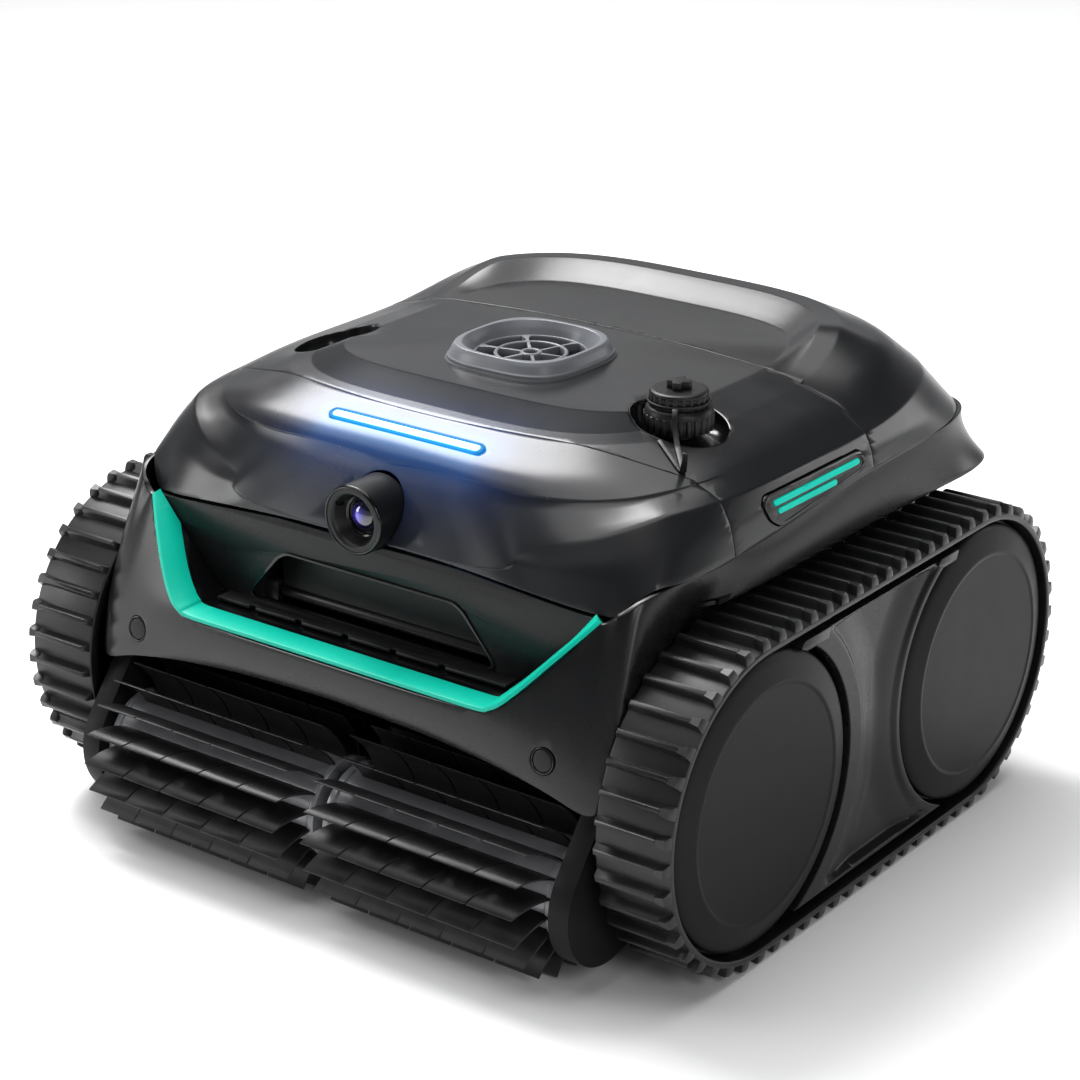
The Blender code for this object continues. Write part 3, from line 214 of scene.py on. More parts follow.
def lamp_material():
    mat = bpy.data.materials.new("light_bar_lit")
    mat.use_nodes = True
    tree = mat.node_tree
    bsdf = tree.nodes["Principled BSDF"]
    where = node(tree, "ShaderNodeTexCoord").outputs["Object"]
    parts = node(tree, "ShaderNodeSeparateXYZ")
    tree.links.new(where, parts.inputs[0])
    along = math_node(tree, "MAXIMUM", math_node(tree, "SUBTRACT", math_node(tree, "ABSOLUTE", parts.outputs[0]), 0.0462), 0.0)
    dy = math_node(tree, "SUBTRACT", parts.outputs[1], (LED_AT[1] + ORIGIN_Y) * MM)
    joined = node(tree, "ShaderNodeCombineXYZ")
    tree.links.new(along, joined.inputs[0])
    tree.links.new(dy, joined.inputs[1])
    length = node(tree, "ShaderNodeVectorMath", operation="LENGTH")
    tree.links.new(joined.outputs[0], length.inputs[0])
    drift = math_node(tree, "MULTIPLY", noise(tree, where, 260.0, 3.0), 0.0007)
    edge = ranged(tree, math_node(tree, "ADD", length.outputs["Value"], drift), 0.0009, 0.0024, 0.0, 1.0)
    tree.links.new(mix_color(tree, edge, (0.92, 1.0, 1.0), (0.0, 0.62, 1.0)), bsdf.inputs["Emission Color"])
    tree.links.new(mix_color(tree, edge, (0.8, 0.95, 1.0), (0.1, 0.5, 0.8)), bsdf.inputs["Base Color"])
    tree.links.new(ranged(tree, drift, 0.0, 0.0007, 0.2, 0.34), bsdf.inputs["Roughness"])
    bsdf.inputs["Emission Strength"].default_value = 3.2
    return mat


def lens_material():
    mat = surface("coated_lens_painted_glint", (0.004, 0.004, 0.012), 0.06, 0.02, 0.01, 600.0, specular=0.9, wear_and_edge_highlight=0.0)
    tree = mat.node_tree
    bsdf = tree.nodes["Principled BSDF"]
    where = node(tree, "ShaderNodeTexCoord").outputs["Object"]
    parts = node(tree, "ShaderNodeSeparateXYZ")
    tree.links.new(where, parts.inputs[0])
    dx = math_node(tree, "ADD", parts.outputs[0], 0.0012)
    dz = math_node(tree, "SUBTRACT", parts.outputs[2], (CAMERA_Z + 0.6) * MM)
    joined = node(tree, "ShaderNodeCombineXYZ")
    tree.links.new(dx, joined.inputs[0])
    tree.links.new(dz, joined.inputs[1])
    length = node(tree, "ShaderNodeVectorMath", operation="LENGTH")
    tree.links.new(joined.outputs[0], length.inputs[0])
    # painted reflection: a blue glint painted as emission on the lens, a little off its centre
    painted_lens_glint = ranged(tree, length.outputs["Value"], 0.0008, 0.0068, 1.0, 0.0)
    painted_lens_glint = math_node(tree, "POWER", painted_lens_glint, 2.2)
    tree.links.new(mix_color(tree, painted_lens_glint, (0.0, 0.0, 0.004), (0.05, 0.03, 0.62)), bsdf.inputs["Emission Color"])
    bsdf.inputs["Emission Strength"].default_value = 0.9
    bsdf.inputs["Coat Weight"].default_value = 1.0
    bsdf.inputs["Coat Roughness"].default_value = 0.02
    return mat


LAMP = lamp_material()
LENS = lens_material()

# ------------------------------------------------------------------ mesh helpers
FINISHED = []


def link(name, mesh):
    obj = bpy.data.objects.new(name, mesh)
    SCENE.objects.link(obj)
    return obj


def from_bmesh(name, bm):
    bmesh.ops.recalc_face_normals(bm, faces=bm.faces)
    mesh = bpy.data.meshes.new(name)
    bm.to_mesh(mesh)
    bm.free()
    return link(name, mesh)


def apply(obj, weld=2e-6):
    """Applies the object's modifiers to its mesh."""
    bpy.context.view_layer.update()
    graph = bpy.context.evaluated_depsgraph_get()
    mesh = bpy.data.meshes.new_from_object(obj.evaluated_get(graph))
    if weld:
        bm = bmesh.new()
        bm.from_mesh(mesh)
        bmesh.ops.remove_doubles(bm, verts=bm.verts, dist=weld)
        bmesh.ops.dissolve_degenerate(bm, dist=1e-7, edges=bm.edges)
        bmesh.ops.recalc_face_normals(bm, faces=bm.faces)
        bm.to_mesh(mesh)
        bm.free()
    obj.modifiers.clear()
    obj.data = mesh
    return obj


def cut(obj, *others, operation="DIFFERENCE"):
    for other in others:
        mod = obj.modifiers.new("cut", "BOOLEAN")
        mod.operation = operation
        mod.solver = "EXACT"
        mod.object = other
    apply(obj)
    for other in others:
        bpy.data.objects.remove(other, do_unlink=True)
    return obj


def bevel(obj, width, segments=2, angle=40.0, clamp=True):
    mod = obj.modifiers.new("edge", "BEVEL")
    mod.width = width * MM
    mod.segments = segments
    mod.limit_method = "ANGLE"
    mod.angle_limit = math.radians(angle)
    mod.use_clamp_overlap = clamp
    mod.harden_normals = False
    return apply(obj, weld=1e-7)


def smooth(obj, angle=30.0):
    obj.data.shade_smooth()
    obj.data.set_sharp_from_angle(angle=math.radians(angle))
    return obj


def done(obj, body, slot, mat, *replaced, angle=30.0, smoothing=True):
    """Moves a finished piece from the drawing frame to the row frame and hangs it on its body."""
    obj.data.transform(Matrix.Translation((0, ORIGIN_Y * MM, 0)))
    if smoothing:
        smooth(obj, angle)
    obj.data.materials.clear()
    obj.data.materials.append(mat)
    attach(obj, body)
    if replaced:
        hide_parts(*replaced)
    FINISHED.append(obj)
    return obj


def twin(obj, name):
    """Left copy of a right-hand piece, before either is finished."""
    mesh = obj.data.copy()
    mesh.transform(Matrix.Scale(-1, 4, (1, 0, 0)))
    mesh.flip_normals()
    return link(name, mesh)


def join(name, objs):
    bm = bmesh.new()
    for obj in objs:
        bm.from_mesh(obj.data)
    mesh = bpy.data.meshes.new(name)
    bm.to_mesh(mesh)
    bm.free()
    for obj in objs:
        bpy.data.objects.remove(obj, do_unlink=True)
    return link(name, mesh)


def plate(name, outlines, axis, lo, hi):
    curve = bpy.data.curves.new(name + "_outline", "CURVE")
    curve.dimensions = "2D"
    curve.fill_mode = "BOTH"
    curve.extrude = (hi - lo) / 2 * MM
    for outline in outlines:
        spline = curve.splines.new("POLY")
        spline.points.add(len(outline) - 1)
        for point, (u, v) in zip(spline.points, outline):
            point.co = (u * MM, v * MM, 0, 1)
        spline.use_cyclic_u = True
    guide = bpy.data.objects.new(name + "_outline", curve)
    SCENE.objects.link(guide)
    bpy.context.view_layer.update()
    graph = bpy.context.evaluated_depsgraph_get()
    mesh = bpy.data.meshes.new_from_object(guide.evaluated_get(graph))
    bpy.data.objects.remove(guide, do_unlink=True)
    bm = bmesh.new()
    bm.from_mesh(mesh)
    bmesh.ops.remove_doubles(bm, verts=bm.verts, dist=2e-6)
    bmesh.ops.recalc_face_normals(bm, faces=bm.faces)
    bm.to_mesh(mesh)
    bm.free()
    mid = (lo + hi) / 2 * MM
    mesh.transform({
        "z": Matrix.Translation((0, 0, mid)),
        "x": Matrix.Translation((mid, 0, 0)) @ Matrix(((0, 0, 1, 0), (1, 0, 0, 0), (0, 1, 0, 0), (0, 0, 0, 1))),
        "y": Matrix.Translation((0, mid, 0)) @ Matrix(((1, 0, 0, 0), (0, 0, -1, 0), (0, 1, 0, 0), (0, 0, 0, 1))),
    }[axis])
    return link(name, mesh)


def box(name, x0, x1, y0, y1, z0, z1):
    bm = bmesh.new()
    bmesh.ops.create_cube(bm, size=1.0)
    bmesh.ops.scale(bm, vec=((x1 - x0) * MM, (y1 - y0) * MM, (z1 - z0) * MM), verts=bm.verts)
    bmesh.ops.translate(bm, vec=((x0 + x1) / 2 * MM, (y0 + y1) / 2 * MM, (z0 + z1) / 2 * MM), verts=bm.verts)
    return from_bmesh(name, bm)


TURN_TO = {
    "z": Matrix.Identity(4),
    "x": Matrix(((0, 0, 1, 0), (0, 1, 0, 0), (-1, 0, 0, 0), (0, 0, 0, 1))),
    "y": Matrix(((1, 0, 0, 0), (0, 0, 1, 0), (0, -1, 0, 0), (0, 0, 0, 1))),
}


def rod(name, axis, centre, radius, lo, hi, sides=64):
    bm = bmesh.new()
    bmesh.ops.create_cone(bm, cap_ends=True, segments=sides, radius1=radius * MM, radius2=radius * MM, depth=(hi - lo) * MM)
    bm.transform(TURN_TO[axis])
    mid = (lo + hi) / 2
    at = {"x": (mid, *centre), "y": (centre[0], mid, centre[1]), "z": (*centre, mid)}[axis]
    bmesh.ops.translate(bm, vec=[v * MM for v in at], verts=bm.verts)
    return from_bmesh(name, bm)


def rounded_profile(points, radius, steps=4, closed=False):
    """Softens the corners of a profile; radius may be one number or one per point."""
    out = []
    n = len(points)
    for i, p in enumerate(points):
        r = radius[i] if isinstance(radius, (list, tuple)) else radius
        if (not closed and i in (0, n - 1)) or r <= 0:
            out.append(tuple(p))
            continue
        a, b, c = Vector(points[i - 1]), Vector(p), Vector(points[(i + 1) % n])
        la, lc = (a - b).length, (c - b).length
        if la < 1e-6 or lc < 1e-6:
            out.append(tuple(p))
            continue
        pa = b + (a - b) * (min(r, la * 0.45) / la)
        pc = b + (c - b) * (min(r, lc * 0.45) / lc)
        for k in range(steps + 1):
            t = k / steps
            out.append(tuple(pa * (1 - t) ** 2 + b * 2 * t * (1 - t) + pc * t * t))
    return out


def turned(name, profile, axis, at, steps=96, closed=True):
    mesh = bpy.data.meshes.new(name)
    edges = [(i, i + 1) for i in range(len(profile) - 1)]
    if closed:
        edges.append((len(profile) - 1, 0))
    mesh.from_pydata([(r * MM, 0, h * MM) for r, h in profile], edges, [])
    obj = link(name, mesh)
    screw = obj.modifiers.new("Screw", "SCREW")
    screw.axis = "Z"
    screw.steps = steps
    screw.render_steps = steps
    screw.use_merge_vertices = True
    screw.merge_threshold = 0.00001
    apply(obj)
    obj.data.transform(Matrix.Translation([v * MM for v in at]) @ TURN_TO[axis])
    return obj


def loft(name, rings, cyclic=False, caps=True, closed_ring=True):
    bm = bmesh.new()
    rows = [[bm.verts.new((x * MM, y * MM, z * MM)) for x, y, z in ring] for ring in rings]
    count = len(rings[0])
    pairs = list(zip(rows, rows[1:]))
    if cyclic:
        pairs.append((rows[-1], rows[0]))
    for low, high in pairs:
        for i in range(count if closed_ring else count - 1):
            j = (i + 1) % count
            bm.faces.new((low[i], low[j], high[j], high[i]))
    if caps and not cyclic:
        for row in (rows[0], rows[-1]):
            centre = bm.verts.new(sum((v.co for v in row), Vector()) / count)
            for i in range(count):
                bm.faces.new((row[i], row[(i + 1) % count], centre))
    return from_bmesh(name, bm)


def slab(name, front, back):
    """Closed solid between two equal grids of points."""
    bm = bmesh.new()
    f = [[bm.verts.new((x * MM, y * MM, z * MM)) for x, y, z in row] for row in front]
    b = [[bm.verts.new((x * MM, y * MM, z * MM)) for x, y, z in row] for row in back]
    n, m = len(front), len(front[0])
    for i in range(n - 1):
        for j in range(m - 1):
            bm.faces.new((f[i][j], f[i][j + 1], f[i + 1][j + 1], f[i + 1][j]))
            bm.faces.new((b[i][j], b[i + 1][j], b[i + 1][j + 1], b[i][j + 1]))
    for i in range(n - 1):
        bm.faces.new((f[i][0], f[i + 1][0], b[i + 1][0], b[i][0]))
        bm.faces.new((f[i][-1], b[i][-1], b[i + 1][-1], f[i + 1][-1]))
    for j in range(m - 1):
        bm.faces.new((f[0][j], b[0][j], b[0][j + 1], f[0][j + 1]))
        bm.faces.new((f[-1][j], f[-1][j + 1], b[-1][j + 1], b[-1][j]))
    return from_bmesh(name, bm)


def circle(cx, cy, r, n, start=0.0):
    return [(cx + r * math.cos(start + 2 * math.pi * i / n), cy + r * math.sin(start + 2 * math.pi * i / n)) for i in range(n)]


def smoothstep(t):
    t = max(0.0, min(1.0, t))
    return t * t * (3 - 2 * t)


def spline_closed(points, per=6):
    out = []
    n = len(points)
    for i in range(n):
        p = [Vector(points[(i + k - 1) % n]) for k in range(4)]
        for k in range(per):
            t = k / per
            out.append(tuple(0.5 * (2 * p[1] + (p[2] - p[0]) * t + (2 * p[0] - 5 * p[1] + 4 * p[2] - p[3]) * t * t + (3 * p[1] - p[0] - 3 * p[2] + p[3]) * t ** 3)))
    return out


def finer(curve):
    out = []
    for i in range(len(curve) - 1):
        p = [curve[max(0, i - 1)], curve[i], curve[i + 1], curve[min(len(curve) - 1, i + 2)]]
        out.append(p[1])
        out.append(tuple((9 * (p[1][k] + p[2][k]) - p[0][k] - p[3][k]) / 16 for k in range(len(p[1]))))
    return out + [curve[-1]]


def hull_of_two(c1, r1, c2, r2, n=40):
    d = math.hypot(c2[0] - c1[0], c2[1] - c1[1])
    base = math.atan2(c2[1] - c1[1], c2[0] - c1[0])
    a = math.acos((r1 - r2) / d)
    pts = [(c1[0] + r1 * math.cos(base + a + (2 * math.pi - 2 * a) * i / n), c1[1] + r1 * math.sin(base + a + (2 * math.pi - 2 * a) * i / n)) for i in range(n + 1)]
    pts += [(c2[0] + r2 * math.cos(base - a + 2 * a * i / n), c2[1] + r2 * math.sin(base - a + 2 * a * i / n)) for i in range(n + 1)]
    return pts


# ------------------------------------------------------------------ hood
HOOD = (
    (40, -34, 74, 2.4, 2.4, 258.6, 258.0, 258.4),
    (107, -78, 117, 4.4, 3.6, 258.0, 254.6, 257.4),
    (119, -102, 139, 3.9, 3.4, 252.8, 251.9, 266.6),
    (130, -111, 152, 3.8, 3.3, 250.8, 249.4, 265.6),
    (154, -135, 174, 3.8, 3.2, 239.6, 243.0, 255.0),
    (170.5, -152, 190, 4.4, 3.4, None, 231.5, 238.0),
    (174.5, -155, 195, 5.8, 4.1, None, 223.0, 224.0),
    (176.5, -158, 198, 8.0, 5.0, None, 213.5, 213.5),
)
SOFT = (14.0, 1.3, 1.0, 1.0, 8.5, 1.6, 6.0)
BETWEEN = (4, 5, 4, 2, 5, 4, 3, 3)


def lip_z(x, y):
    x = abs(x)
    if y < -100 and x < 149:
        return 197.0 - 8.0 * (x / 145.0) ** 2
    rise = smoothstep((x - 149.0) / 20.0)
    along = 203.0 + 10.5 * smoothstep((y + 120.0) / 190.0)
    if y < -100:
        return (1 - rise) * (197.0 - 8.0 * (x / 145.0) ** 2) + rise * along
    return along


def hood_point(ring, angle, inset=0.0):
    a, f, r, nf, nr, zf, zs, zr = HOOD[ring]
    a, f, r = a - inset, f + inset, r - inset
    c, s = math.cos(angle), math.sin(angle)
    n = nf if s < 0 else nr
    x = a * math.copysign(abs(c) ** (2 / n), c)
    reach = (HOOD_Y0 - f) if s < 0 else (r - HOOD_Y0)
    y = HOOD_Y0 + reach * math.copysign(abs(s) ** (2 / n), s)
    outer_x = x * (a + inset) / a
    if s >= 0:
        z = zs + (zr - zs) * smoothstep(s / 0.55)
    elif zf is not None:
        z = zs + (zf - zs) * smoothstep(-s / 0.8)
    else:
        crease = min(231.5, 196.5 + 35.0 * (abs(outer_x) / 156.0) ** 2)
        low = lip_z(outer_x, y)
        z = {5: max(crease, low + 1.5), 6: low + (crease - low) * 0.55, 7: low}[ring]
        if ring == 6:
            z = max(z, low + 0.8)
        if ring in (5, 6):
            a7, f7, n7 = HOOD[7][0] - inset, HOOD[7][1] + inset, HOOD[7][3]
            x7 = a7 * math.copysign(abs(c) ** (2 / n7), c)
            y7 = HOOD_Y0 - (HOOD_Y0 - f7) * abs(s) ** (2 / n7)
            near_lip = 1 - smoothstep((crease - low - 2.0) / 16.0)
            x += (x7 - x) * near_lip * (0.90 if ring == 5 else 0.95)
            y += (y7 - y) * near_lip * (0.90 if ring == 5 else 0.95)
    if ring == 7:
        z = lip_z(outer_x, y)
    return x, y, z - (0.0 if ring == 7 else inset)


def hood_angles(per_quadrant=52):
    out = []
    for q in range(4):
        for i in range(per_quadrant):
            u = (i + 0.5) / per_quadrant
            out.append(math.pi / 2 * (q + u * u * (3 - 2 * u)))
    return out


def hood_profile(angle, lift=0.0):
    pts = [Vector(hood_point(k, angle, -lift)) for k in range(8)]
    start = Vector((0, HOOD_Y0, 258.7)).lerp(pts[0], 0.4)
    start.z = 258.75 + lift
    pts = [start] + pts
    out = [pts[0]]
    last = pts[0]
    for k in range(1, 8):
        before, here, after = pts[k - 1], pts[k], pts[k + 1]
        la, lc = (before - here).length, (after - here).length
        pa = here + (before - here) * (min(SOFT[k - 1], la * 0.45) / la)
        pc = here + (after - here) * (min(SOFT[k - 1], lc * 0.45) / lc)
        if k == 6:
            # the brow overhangs the face panel by a small step at the front
            run = (pa - last).normalized()
            flat = Vector((0, HOOD_Y0, 0)) - Vector((last.x, last.y, 0))
            flat.normalize()
            under = (flat - run * flat.dot(run)).normalized()
            depth = 1.7 * smoothstep((-math.sin(angle) - 0.25) / 0.35)
            out.append(last + run * 0.25 + under * 0.02)
            last = last + run * 0.6 + under * depth
            out.append(last)
        for i in range(1, BETWEEN[k - 1]):
            out.append(last.lerp(pa, i / BETWEEN[k - 1]))
        for i in range(6):
            t = i / 5
            out.append(pa * (1 - t) ** 2 + here * 2 * t * (1 - t) + pc * t * t)
        last = pc
    for i in range(1, BETWEEN[7] + 1):
        out.append(last.lerp(pts[8], i / BETWEEN[7]))
    return out


def seam_y(x):
    return -110.0 + 28.0 * min(1.0, abs(x) / 150.0) ** 2.2


ANGLES = hood_angles()


def hood_blank():
    profiles = [hood_profile(a) for a in ANGLES]
    count = len(profiles[0])
    rings = []
    for share in (0.25, 0.5, 0.75):
        rings.append([(p[0].x * share, HOOD_Y0 + (p[0].y - HOOD_Y0) * share, 258.75 + 0.25 * (1 - share)) for p in profiles])
    for k in range(count):
        rings.append([tuple(p[k]) for p in profiles])
    for k in (7, 6, 5, 4, 3, 2, 1, 0):
        rings.append([hood_point(k, a, WALL) for a in ANGLES])
    return loft("hood_blank", rings)


hood = hood_blank()
seam_line = [(x, seam_y(x)) for x in [i * 5.0 - 205.0 for i in range(83)]]
GAP = 0.22


def section(name, outline):
    obj = link(name, hood.data.copy())
    return cut(obj, plate(name + "_slice", [outline], "z", 150, 300), operation="INTERSECT")


visor = section("visor_shell", [(x, y - GAP) for x, y in seam_line] + [(210, -260), (-210, -260)])
mid = section("middle_cover_shell", [(x, y + GAP) for x, y in seam_line] + [(210, LID_SEAM_Y - GAP), (-210, LID_SEAM_Y - GAP)])
lid = section("rear_lid_shell", [(-210, LID_SEAM_Y + GAP), (210, LID_SEAM_Y + GAP), (210, 260), (-210, 260)])


def tilted(obj, angle=LED_TILT, at=LED_AT):
    obj.data.transform(Matrix.Translation([v * MM for v in at]) @ Matrix.Rotation(math.radians(angle), 4, "X"))
    return obj


def stadium(cx, cy, half, r, n=16):
    pts = [(cx + half + r * math.cos(t), cy + r * math.sin(t)) for t in [math.pi * (i / n - 0.5) for i in range(n + 1)]]
    pts += [(cx - half + r * math.cos(t), cy + r * math.sin(t)) for t in [math.pi * (i / n + 0.5) for i in range(n + 1)]]
    return pts


RECESS = spline_closed([(-123, -67.5), (-132, -58.5), (-137.6, -43), (-135.2, -29), (-128, -21), (-123.4, -12.5), (-116, -9.5), (-107.6, -14), (-102.8, -25), (-102.4, -37), (-104.2, -47), (-108, -59), (-114, -67)], 6)
PANEL = rounded_profile([(-55, 222.5), (-51.5, 226.3), (36, 226.3), (40.5, 223.5), (40.5, 219.5), (37, 216.0), (-36, 208.6), (-42, 208.4), (-50.5, 214.0)], 3.0, 4, True)


def grown(outline, by, cy, cz):
    return [(y + by * (y - cy) / max(8.0, math.hypot(y - cy, z - cz)), z + by * (z - cz) / max(1.0, abs(z - cz)) * min(1.0, abs(z - cz) / 4)) for y, z in outline]


cut(visor, tilted(plate("led_slot", [stadium(0, 0, 47.0, 3.9)], "z", -8, 12)), rod("camera_hole", "y", (0, CAMERA_Z), CAMERA_R + 0.5, -190, -130, 96))
cut(mid, rod("vent_hole", "z", (0, VENT_Y), 33.0, 240, 280, 96), rod("cup_hole", "z", (CUP_X, CUP_Y), CUP_R + 0.35, 225, 290, 96),
    plate("recess_hole", [RECESS], "z", 225, 290),
    plate("badge_cut", [grown(PANEL, 0.5, -7, 217.5)], "x", 150, 190), plate("badge_cut_left", [grown(PANEL, 0.5, -7, 217.5)], "x", -190, -150))
for x0, x1 in ((-48.0, -36.0), (36.0, 48.0)):
    knuckle = rod("knuckle", "x", LID_AXIS, 4.0, x0, x1, 40)
    arm = box("knuckle_arm", x0, x1, 192.0, LID_AXIS[0], 211.5, 216.5)
    cut(knuckle, arm, operation="UNION")
    cut(knuckle, rod("bore", "x", LID_AXIS, 1.8, -70, 70, 24))
    bevel(knuckle, 0.5)
    done(knuckle, "rear_lid", "graphite_plastic", GRAPHITE)
    knuckle.name = "lid_knuckle_" + ("left" if x0 < 0 else "right")
for piece in (visor, mid, lid):
    bevel(piece, 0.35, 2, 42.0, clamp=False)
bpy.data.objects.remove(hood, do_unlink=True)
done(visor, "chassis", "graphite_plastic", GRAPHITE_PAINTED_LIGHT, "front_visor", angle=24)
done(mid, "chassis", "graphite_plastic", GRAPHITE_PAINTED_LIGHT, "mid_cover", angle=24)
done(lid, "rear_lid", "graphite_plastic", GRAPHITE, "rear_lid", angle=24)

# light bar lens, and its thin frame with a painted cyan halo
lamp = tilted(plate("light_bar", [stadium(0, 0, 46.2, 2.1)], "z", -3.2, 0.35))
bevel(lamp, 0.5)
done(lamp, "chassis", "light_bar", LAMP, "led_lens")
rim = tilted(plate("light_bar_frame", [stadium(0, 0, 47.0, 3.75), stadium(0, 0, 46.2, 2.2)], "z", -3.0, 0.45))
bevel(rim, 0.25)
done(rim, "chassis", "light_bar", PAINTED_HALO)

# ------------------------------------------------------------------ camera
cam_profile = rounded_profile([(0.0, 159.6), (8.6, 159.6), (8.6, 160.6), (9.8, 161.4), (13.2, 169.6), (14.4, 170.9), (17.2, 170.9), (CAMERA_R, 169.5), (CAMERA_R, 146.0), (0.0, 146.0)], [0, 0.2, 0.3, 0.5, 0.8, 0.8, 0.9, 0.9, 0.5, 0], 4)
cam = turned("camera_body", cam_profile, "z", (0, 0, 0), 128, False)
lens = turned("camera_glass", [(0.0, 165.6)] + [(8.3 * math.sin(a), 160.9 + 4.7 * math.cos(a) ** 1.3 if math.cos(a) > 0 else 160.9) for a in [math.radians(v) for v in range(6, 91, 6)]] + [(0.0, 160.9)], "z", (0, 0, 0), 72, False)
ring = turned("camera_ring", rounded_profile([(9.4, 161.2), (9.4, 162.6), (11.0, 163.6), (11.4, 163.0), (10.2, 161.2)], 0.3, 3, True), "z", (0, 0, 0), 96)
outer = turned("camera_rim", rounded_profile([(16.9, 170.4), (17.1, 171.35), (17.7, 171.35), (18.5, 170.5), (18.7, 169.2), (18.2, 169.2)], 0.3, 3, True), "z", (0, 0, 0), 128)
for obj in (cam, lens, ring, outer):
    obj.data.transform(Matrix.Translation((0, 4.2 * MM, CAMERA_Z * MM)) @ Matrix.Rotation(math.radians(90), 4, "X"))
cut(cam, *[box("notch", *sorted((sx * 8.2, sx * 11.8)), -167.3, -160.4, CAMERA_Z + dz - 1.6, CAMERA_Z + dz + 1.6) for sx, dz in ((-1, 6.2), (1, -6.2))])
done(cam, "chassis", "black_plastic", BLACK, "camera_housing")
done(lens, "chassis", "lens_glass", LENS, "camera_lens")
done(ring, "chassis", "black_plastic", GLOSS)
done(outer, "chassis", "black_plastic", GLOSS)

# ------------------------------------------------------------------ lower shell: bumper and skirt
EDGE = ((0, -189, 118), (60, -189, 116), (110, -189, 111), (142, -189, 105), (157, -187.5, 100), (166, -184, 101), (169, -178, 119),
        (169.2, -171, 133), (169.2, -161, 144), (169.2, -148, 155), (169.2, -136, 165), (169.3, -122, 174), (169.6, -109, 181.5), (177.5, -92, 183.8), (180, -40, 184),
        (180, 40, 184), (181.5, 116, 183.5), (180.5, 158, 183), (167, 186, 183), (123, 196, 183.5), (60, 197, 184), (0, 197, 184))
BELT = ((0, -157, 187), (60, -157, 187), (110, -158, 187), (142, -159, 188), (151, -158, 190), (158, -155.5, 193), (162.5, -152, 196),
        (165.5, -147, 199), (167.5, -141, 200.5), (169, -134, 201.5), (170.3, -126, 202.3), (171.7, -117, 203), (173, -105, 203.8), (174.5, -88, 204.5), (174.5, -38, 208.5),
        (174.5, 40, 212), (174, 105, 212.6), (170, 148, 212.6), (156, 177, 212.6), (118, 189, 212.6), (60, 194, 212.6), (0, 195, 212.6))
FACE = ((0, -187, 150), (60, -187, 149), (110, -185, 148), (142, -181, 145), (157, -178.5, 141), (165, -174.5, 141), (168, -169, 150),
        (168.8, -162.5, 159), (169.2, -153, 167), (169.4, -143.5, 174), (169.7, -134, 181), (170.3, -122, 187), (172.5, -107, 192), (176, -86, 195), (178, -40, 197),
        (178, 40, 199), (177.6, 108, 199), (173.6, 149, 199), (158.6, 177.8, 199), (119.4, 190.5, 199), (60, 194.8, 199), (0, 195.4, 199))


def both_sides(curve):
    return list(curve) + [(-x, y, z) for x, y, z in reversed(curve[1:-1])]


def thickened(curve, wall, scale):
    last = (len(curve) - 1) / scale
    out = []
    for k, (x, y, z) in enumerate(curve):
        i = k / scale
        turn = math.radians(90) * smoothstep((i - 2.5) / 4.0) + math.radians(90) * smoothstep((i - (last - 5.0)) / 3.0)
        out.append((max(0.0, x - wall * math.sin(turn)) if x else 0.0, y + wall * math.cos(turn), z))
    return out


def skirt_rows(steps):
    fine = []
    for curve in (BELT, FACE, EDGE):
        for _ in range(3):
            curve = finer(list(curve))
        fine.append(curve)
    fine[0] = [(x, y, min(z, lip_z(x, y) - 0.8)) for x, y, z in fine[0]]
    out = []
    for k in range(steps + 1):
        t = k / steps
        w = (2 * (t - 0.5) * (t - 1), 4 * t * (1 - t), 2 * t * (t - 0.5))
        out.append([tuple(w[0] * a[i] + w[1] * b[i] + w[2] * c[i] for i in range(3)) for a, b, c in zip(*fine)])
    return out


rows = skirt_rows(14)
skirt = loft("bumper_skirt", [both_sides(r) for r in rows] + [both_sides(thickened(r, WALL, 8)) for r in reversed(rows)], cyclic=True)
OPENING = rounded_profile([(-149.6, 215), (-149.6, 188), (-140.5, 177), (-130.5, 165.5), (-120.5, 154), (-111, 144.5), (-104, 140.2), (-96, 138.2), (-60, 137.8),
                           (60, 137.8), (96, 138.2), (104, 140.2), (111, 144.5), (120.5, 154), (130.5, 165.5), (140.5, 177), (149.6, 188), (149.6, 215)], 5.0, 4, True)
cut(skirt, plate("opening_cut", [OPENING], "y", -230, -150.5),
    *[rod("plug_seat", "y", (side * 135.9, 122.1), 6.9, -200, -175, 48) for side in (-1, 1)])
bevel(skirt, 0.7, 3, 38.0, clamp=False)
done(skirt, "chassis", "dark_plastic", DARK, "lower_shell", angle=26)

CORNER = 38.0


def plan(inset, front=-148.0, rear=192.0, half=TUB_X):
    x, y0, y1, r = half - inset, front + inset, rear - inset, CORNER - inset
    pts = [(-x, y0), (x, y0)]
    pts += [(x - r + r * math.cos(t), y1 - r + r * math.sin(t)) for t in [math.radians(90 * i / 12) for i in range(13)]]
    pts += [(-x + r - r * math.sin(t), y1 - r + r * math.cos(t)) for t in [math.radians(90 * i / 12) for i in range(13)]]
    return pts


tub = plate("floor_tub", [plan(0)], "z", FLOOR_Z, 186)
hollow = plate("tub_hollow", [plan(WALL)], "z", FLOOR_Z + WALL, 260)
cut(hollow, rod("arch_wall", "x", (BRUSH_Y, BRUSH_Z), ARCH_R + WALL, -200, 200, 96))
cut(tub, hollow, rod("arch", "x", (BRUSH_Y, BRUSH_Z), ARCH_R, -200, 200, 96), box("mouth", -45.6, 45.6, -118.8, -91.2, 10, 30),
    box("seat", -84.4, 84.4, -160, -140, 131.6, 186.4))
cut(tub, *[rod("bore", "x", (y, AXLE_Z), r, *sorted((side * 140, side * 160)), 40) for side in (-1, 1) for y, r in ((-WHEELBASE_HALF, 7.0), (WHEELBASE_HALF, 6.4))],
    # shallow panel in the back wall and grooves in the floor
    plate("back_panel", [rounded_profile([(-96, 44), (96, 44), (84, 150), (-84, 150)], 9.0, 5, True)], "y", 190.8, 200))
cut(tub, *[box("floor_groove", x - 1.2, x + 1.2, -60, 160, 15, FLOOR_Z + 0.9) for x in (-120, -80, 80, 120)])
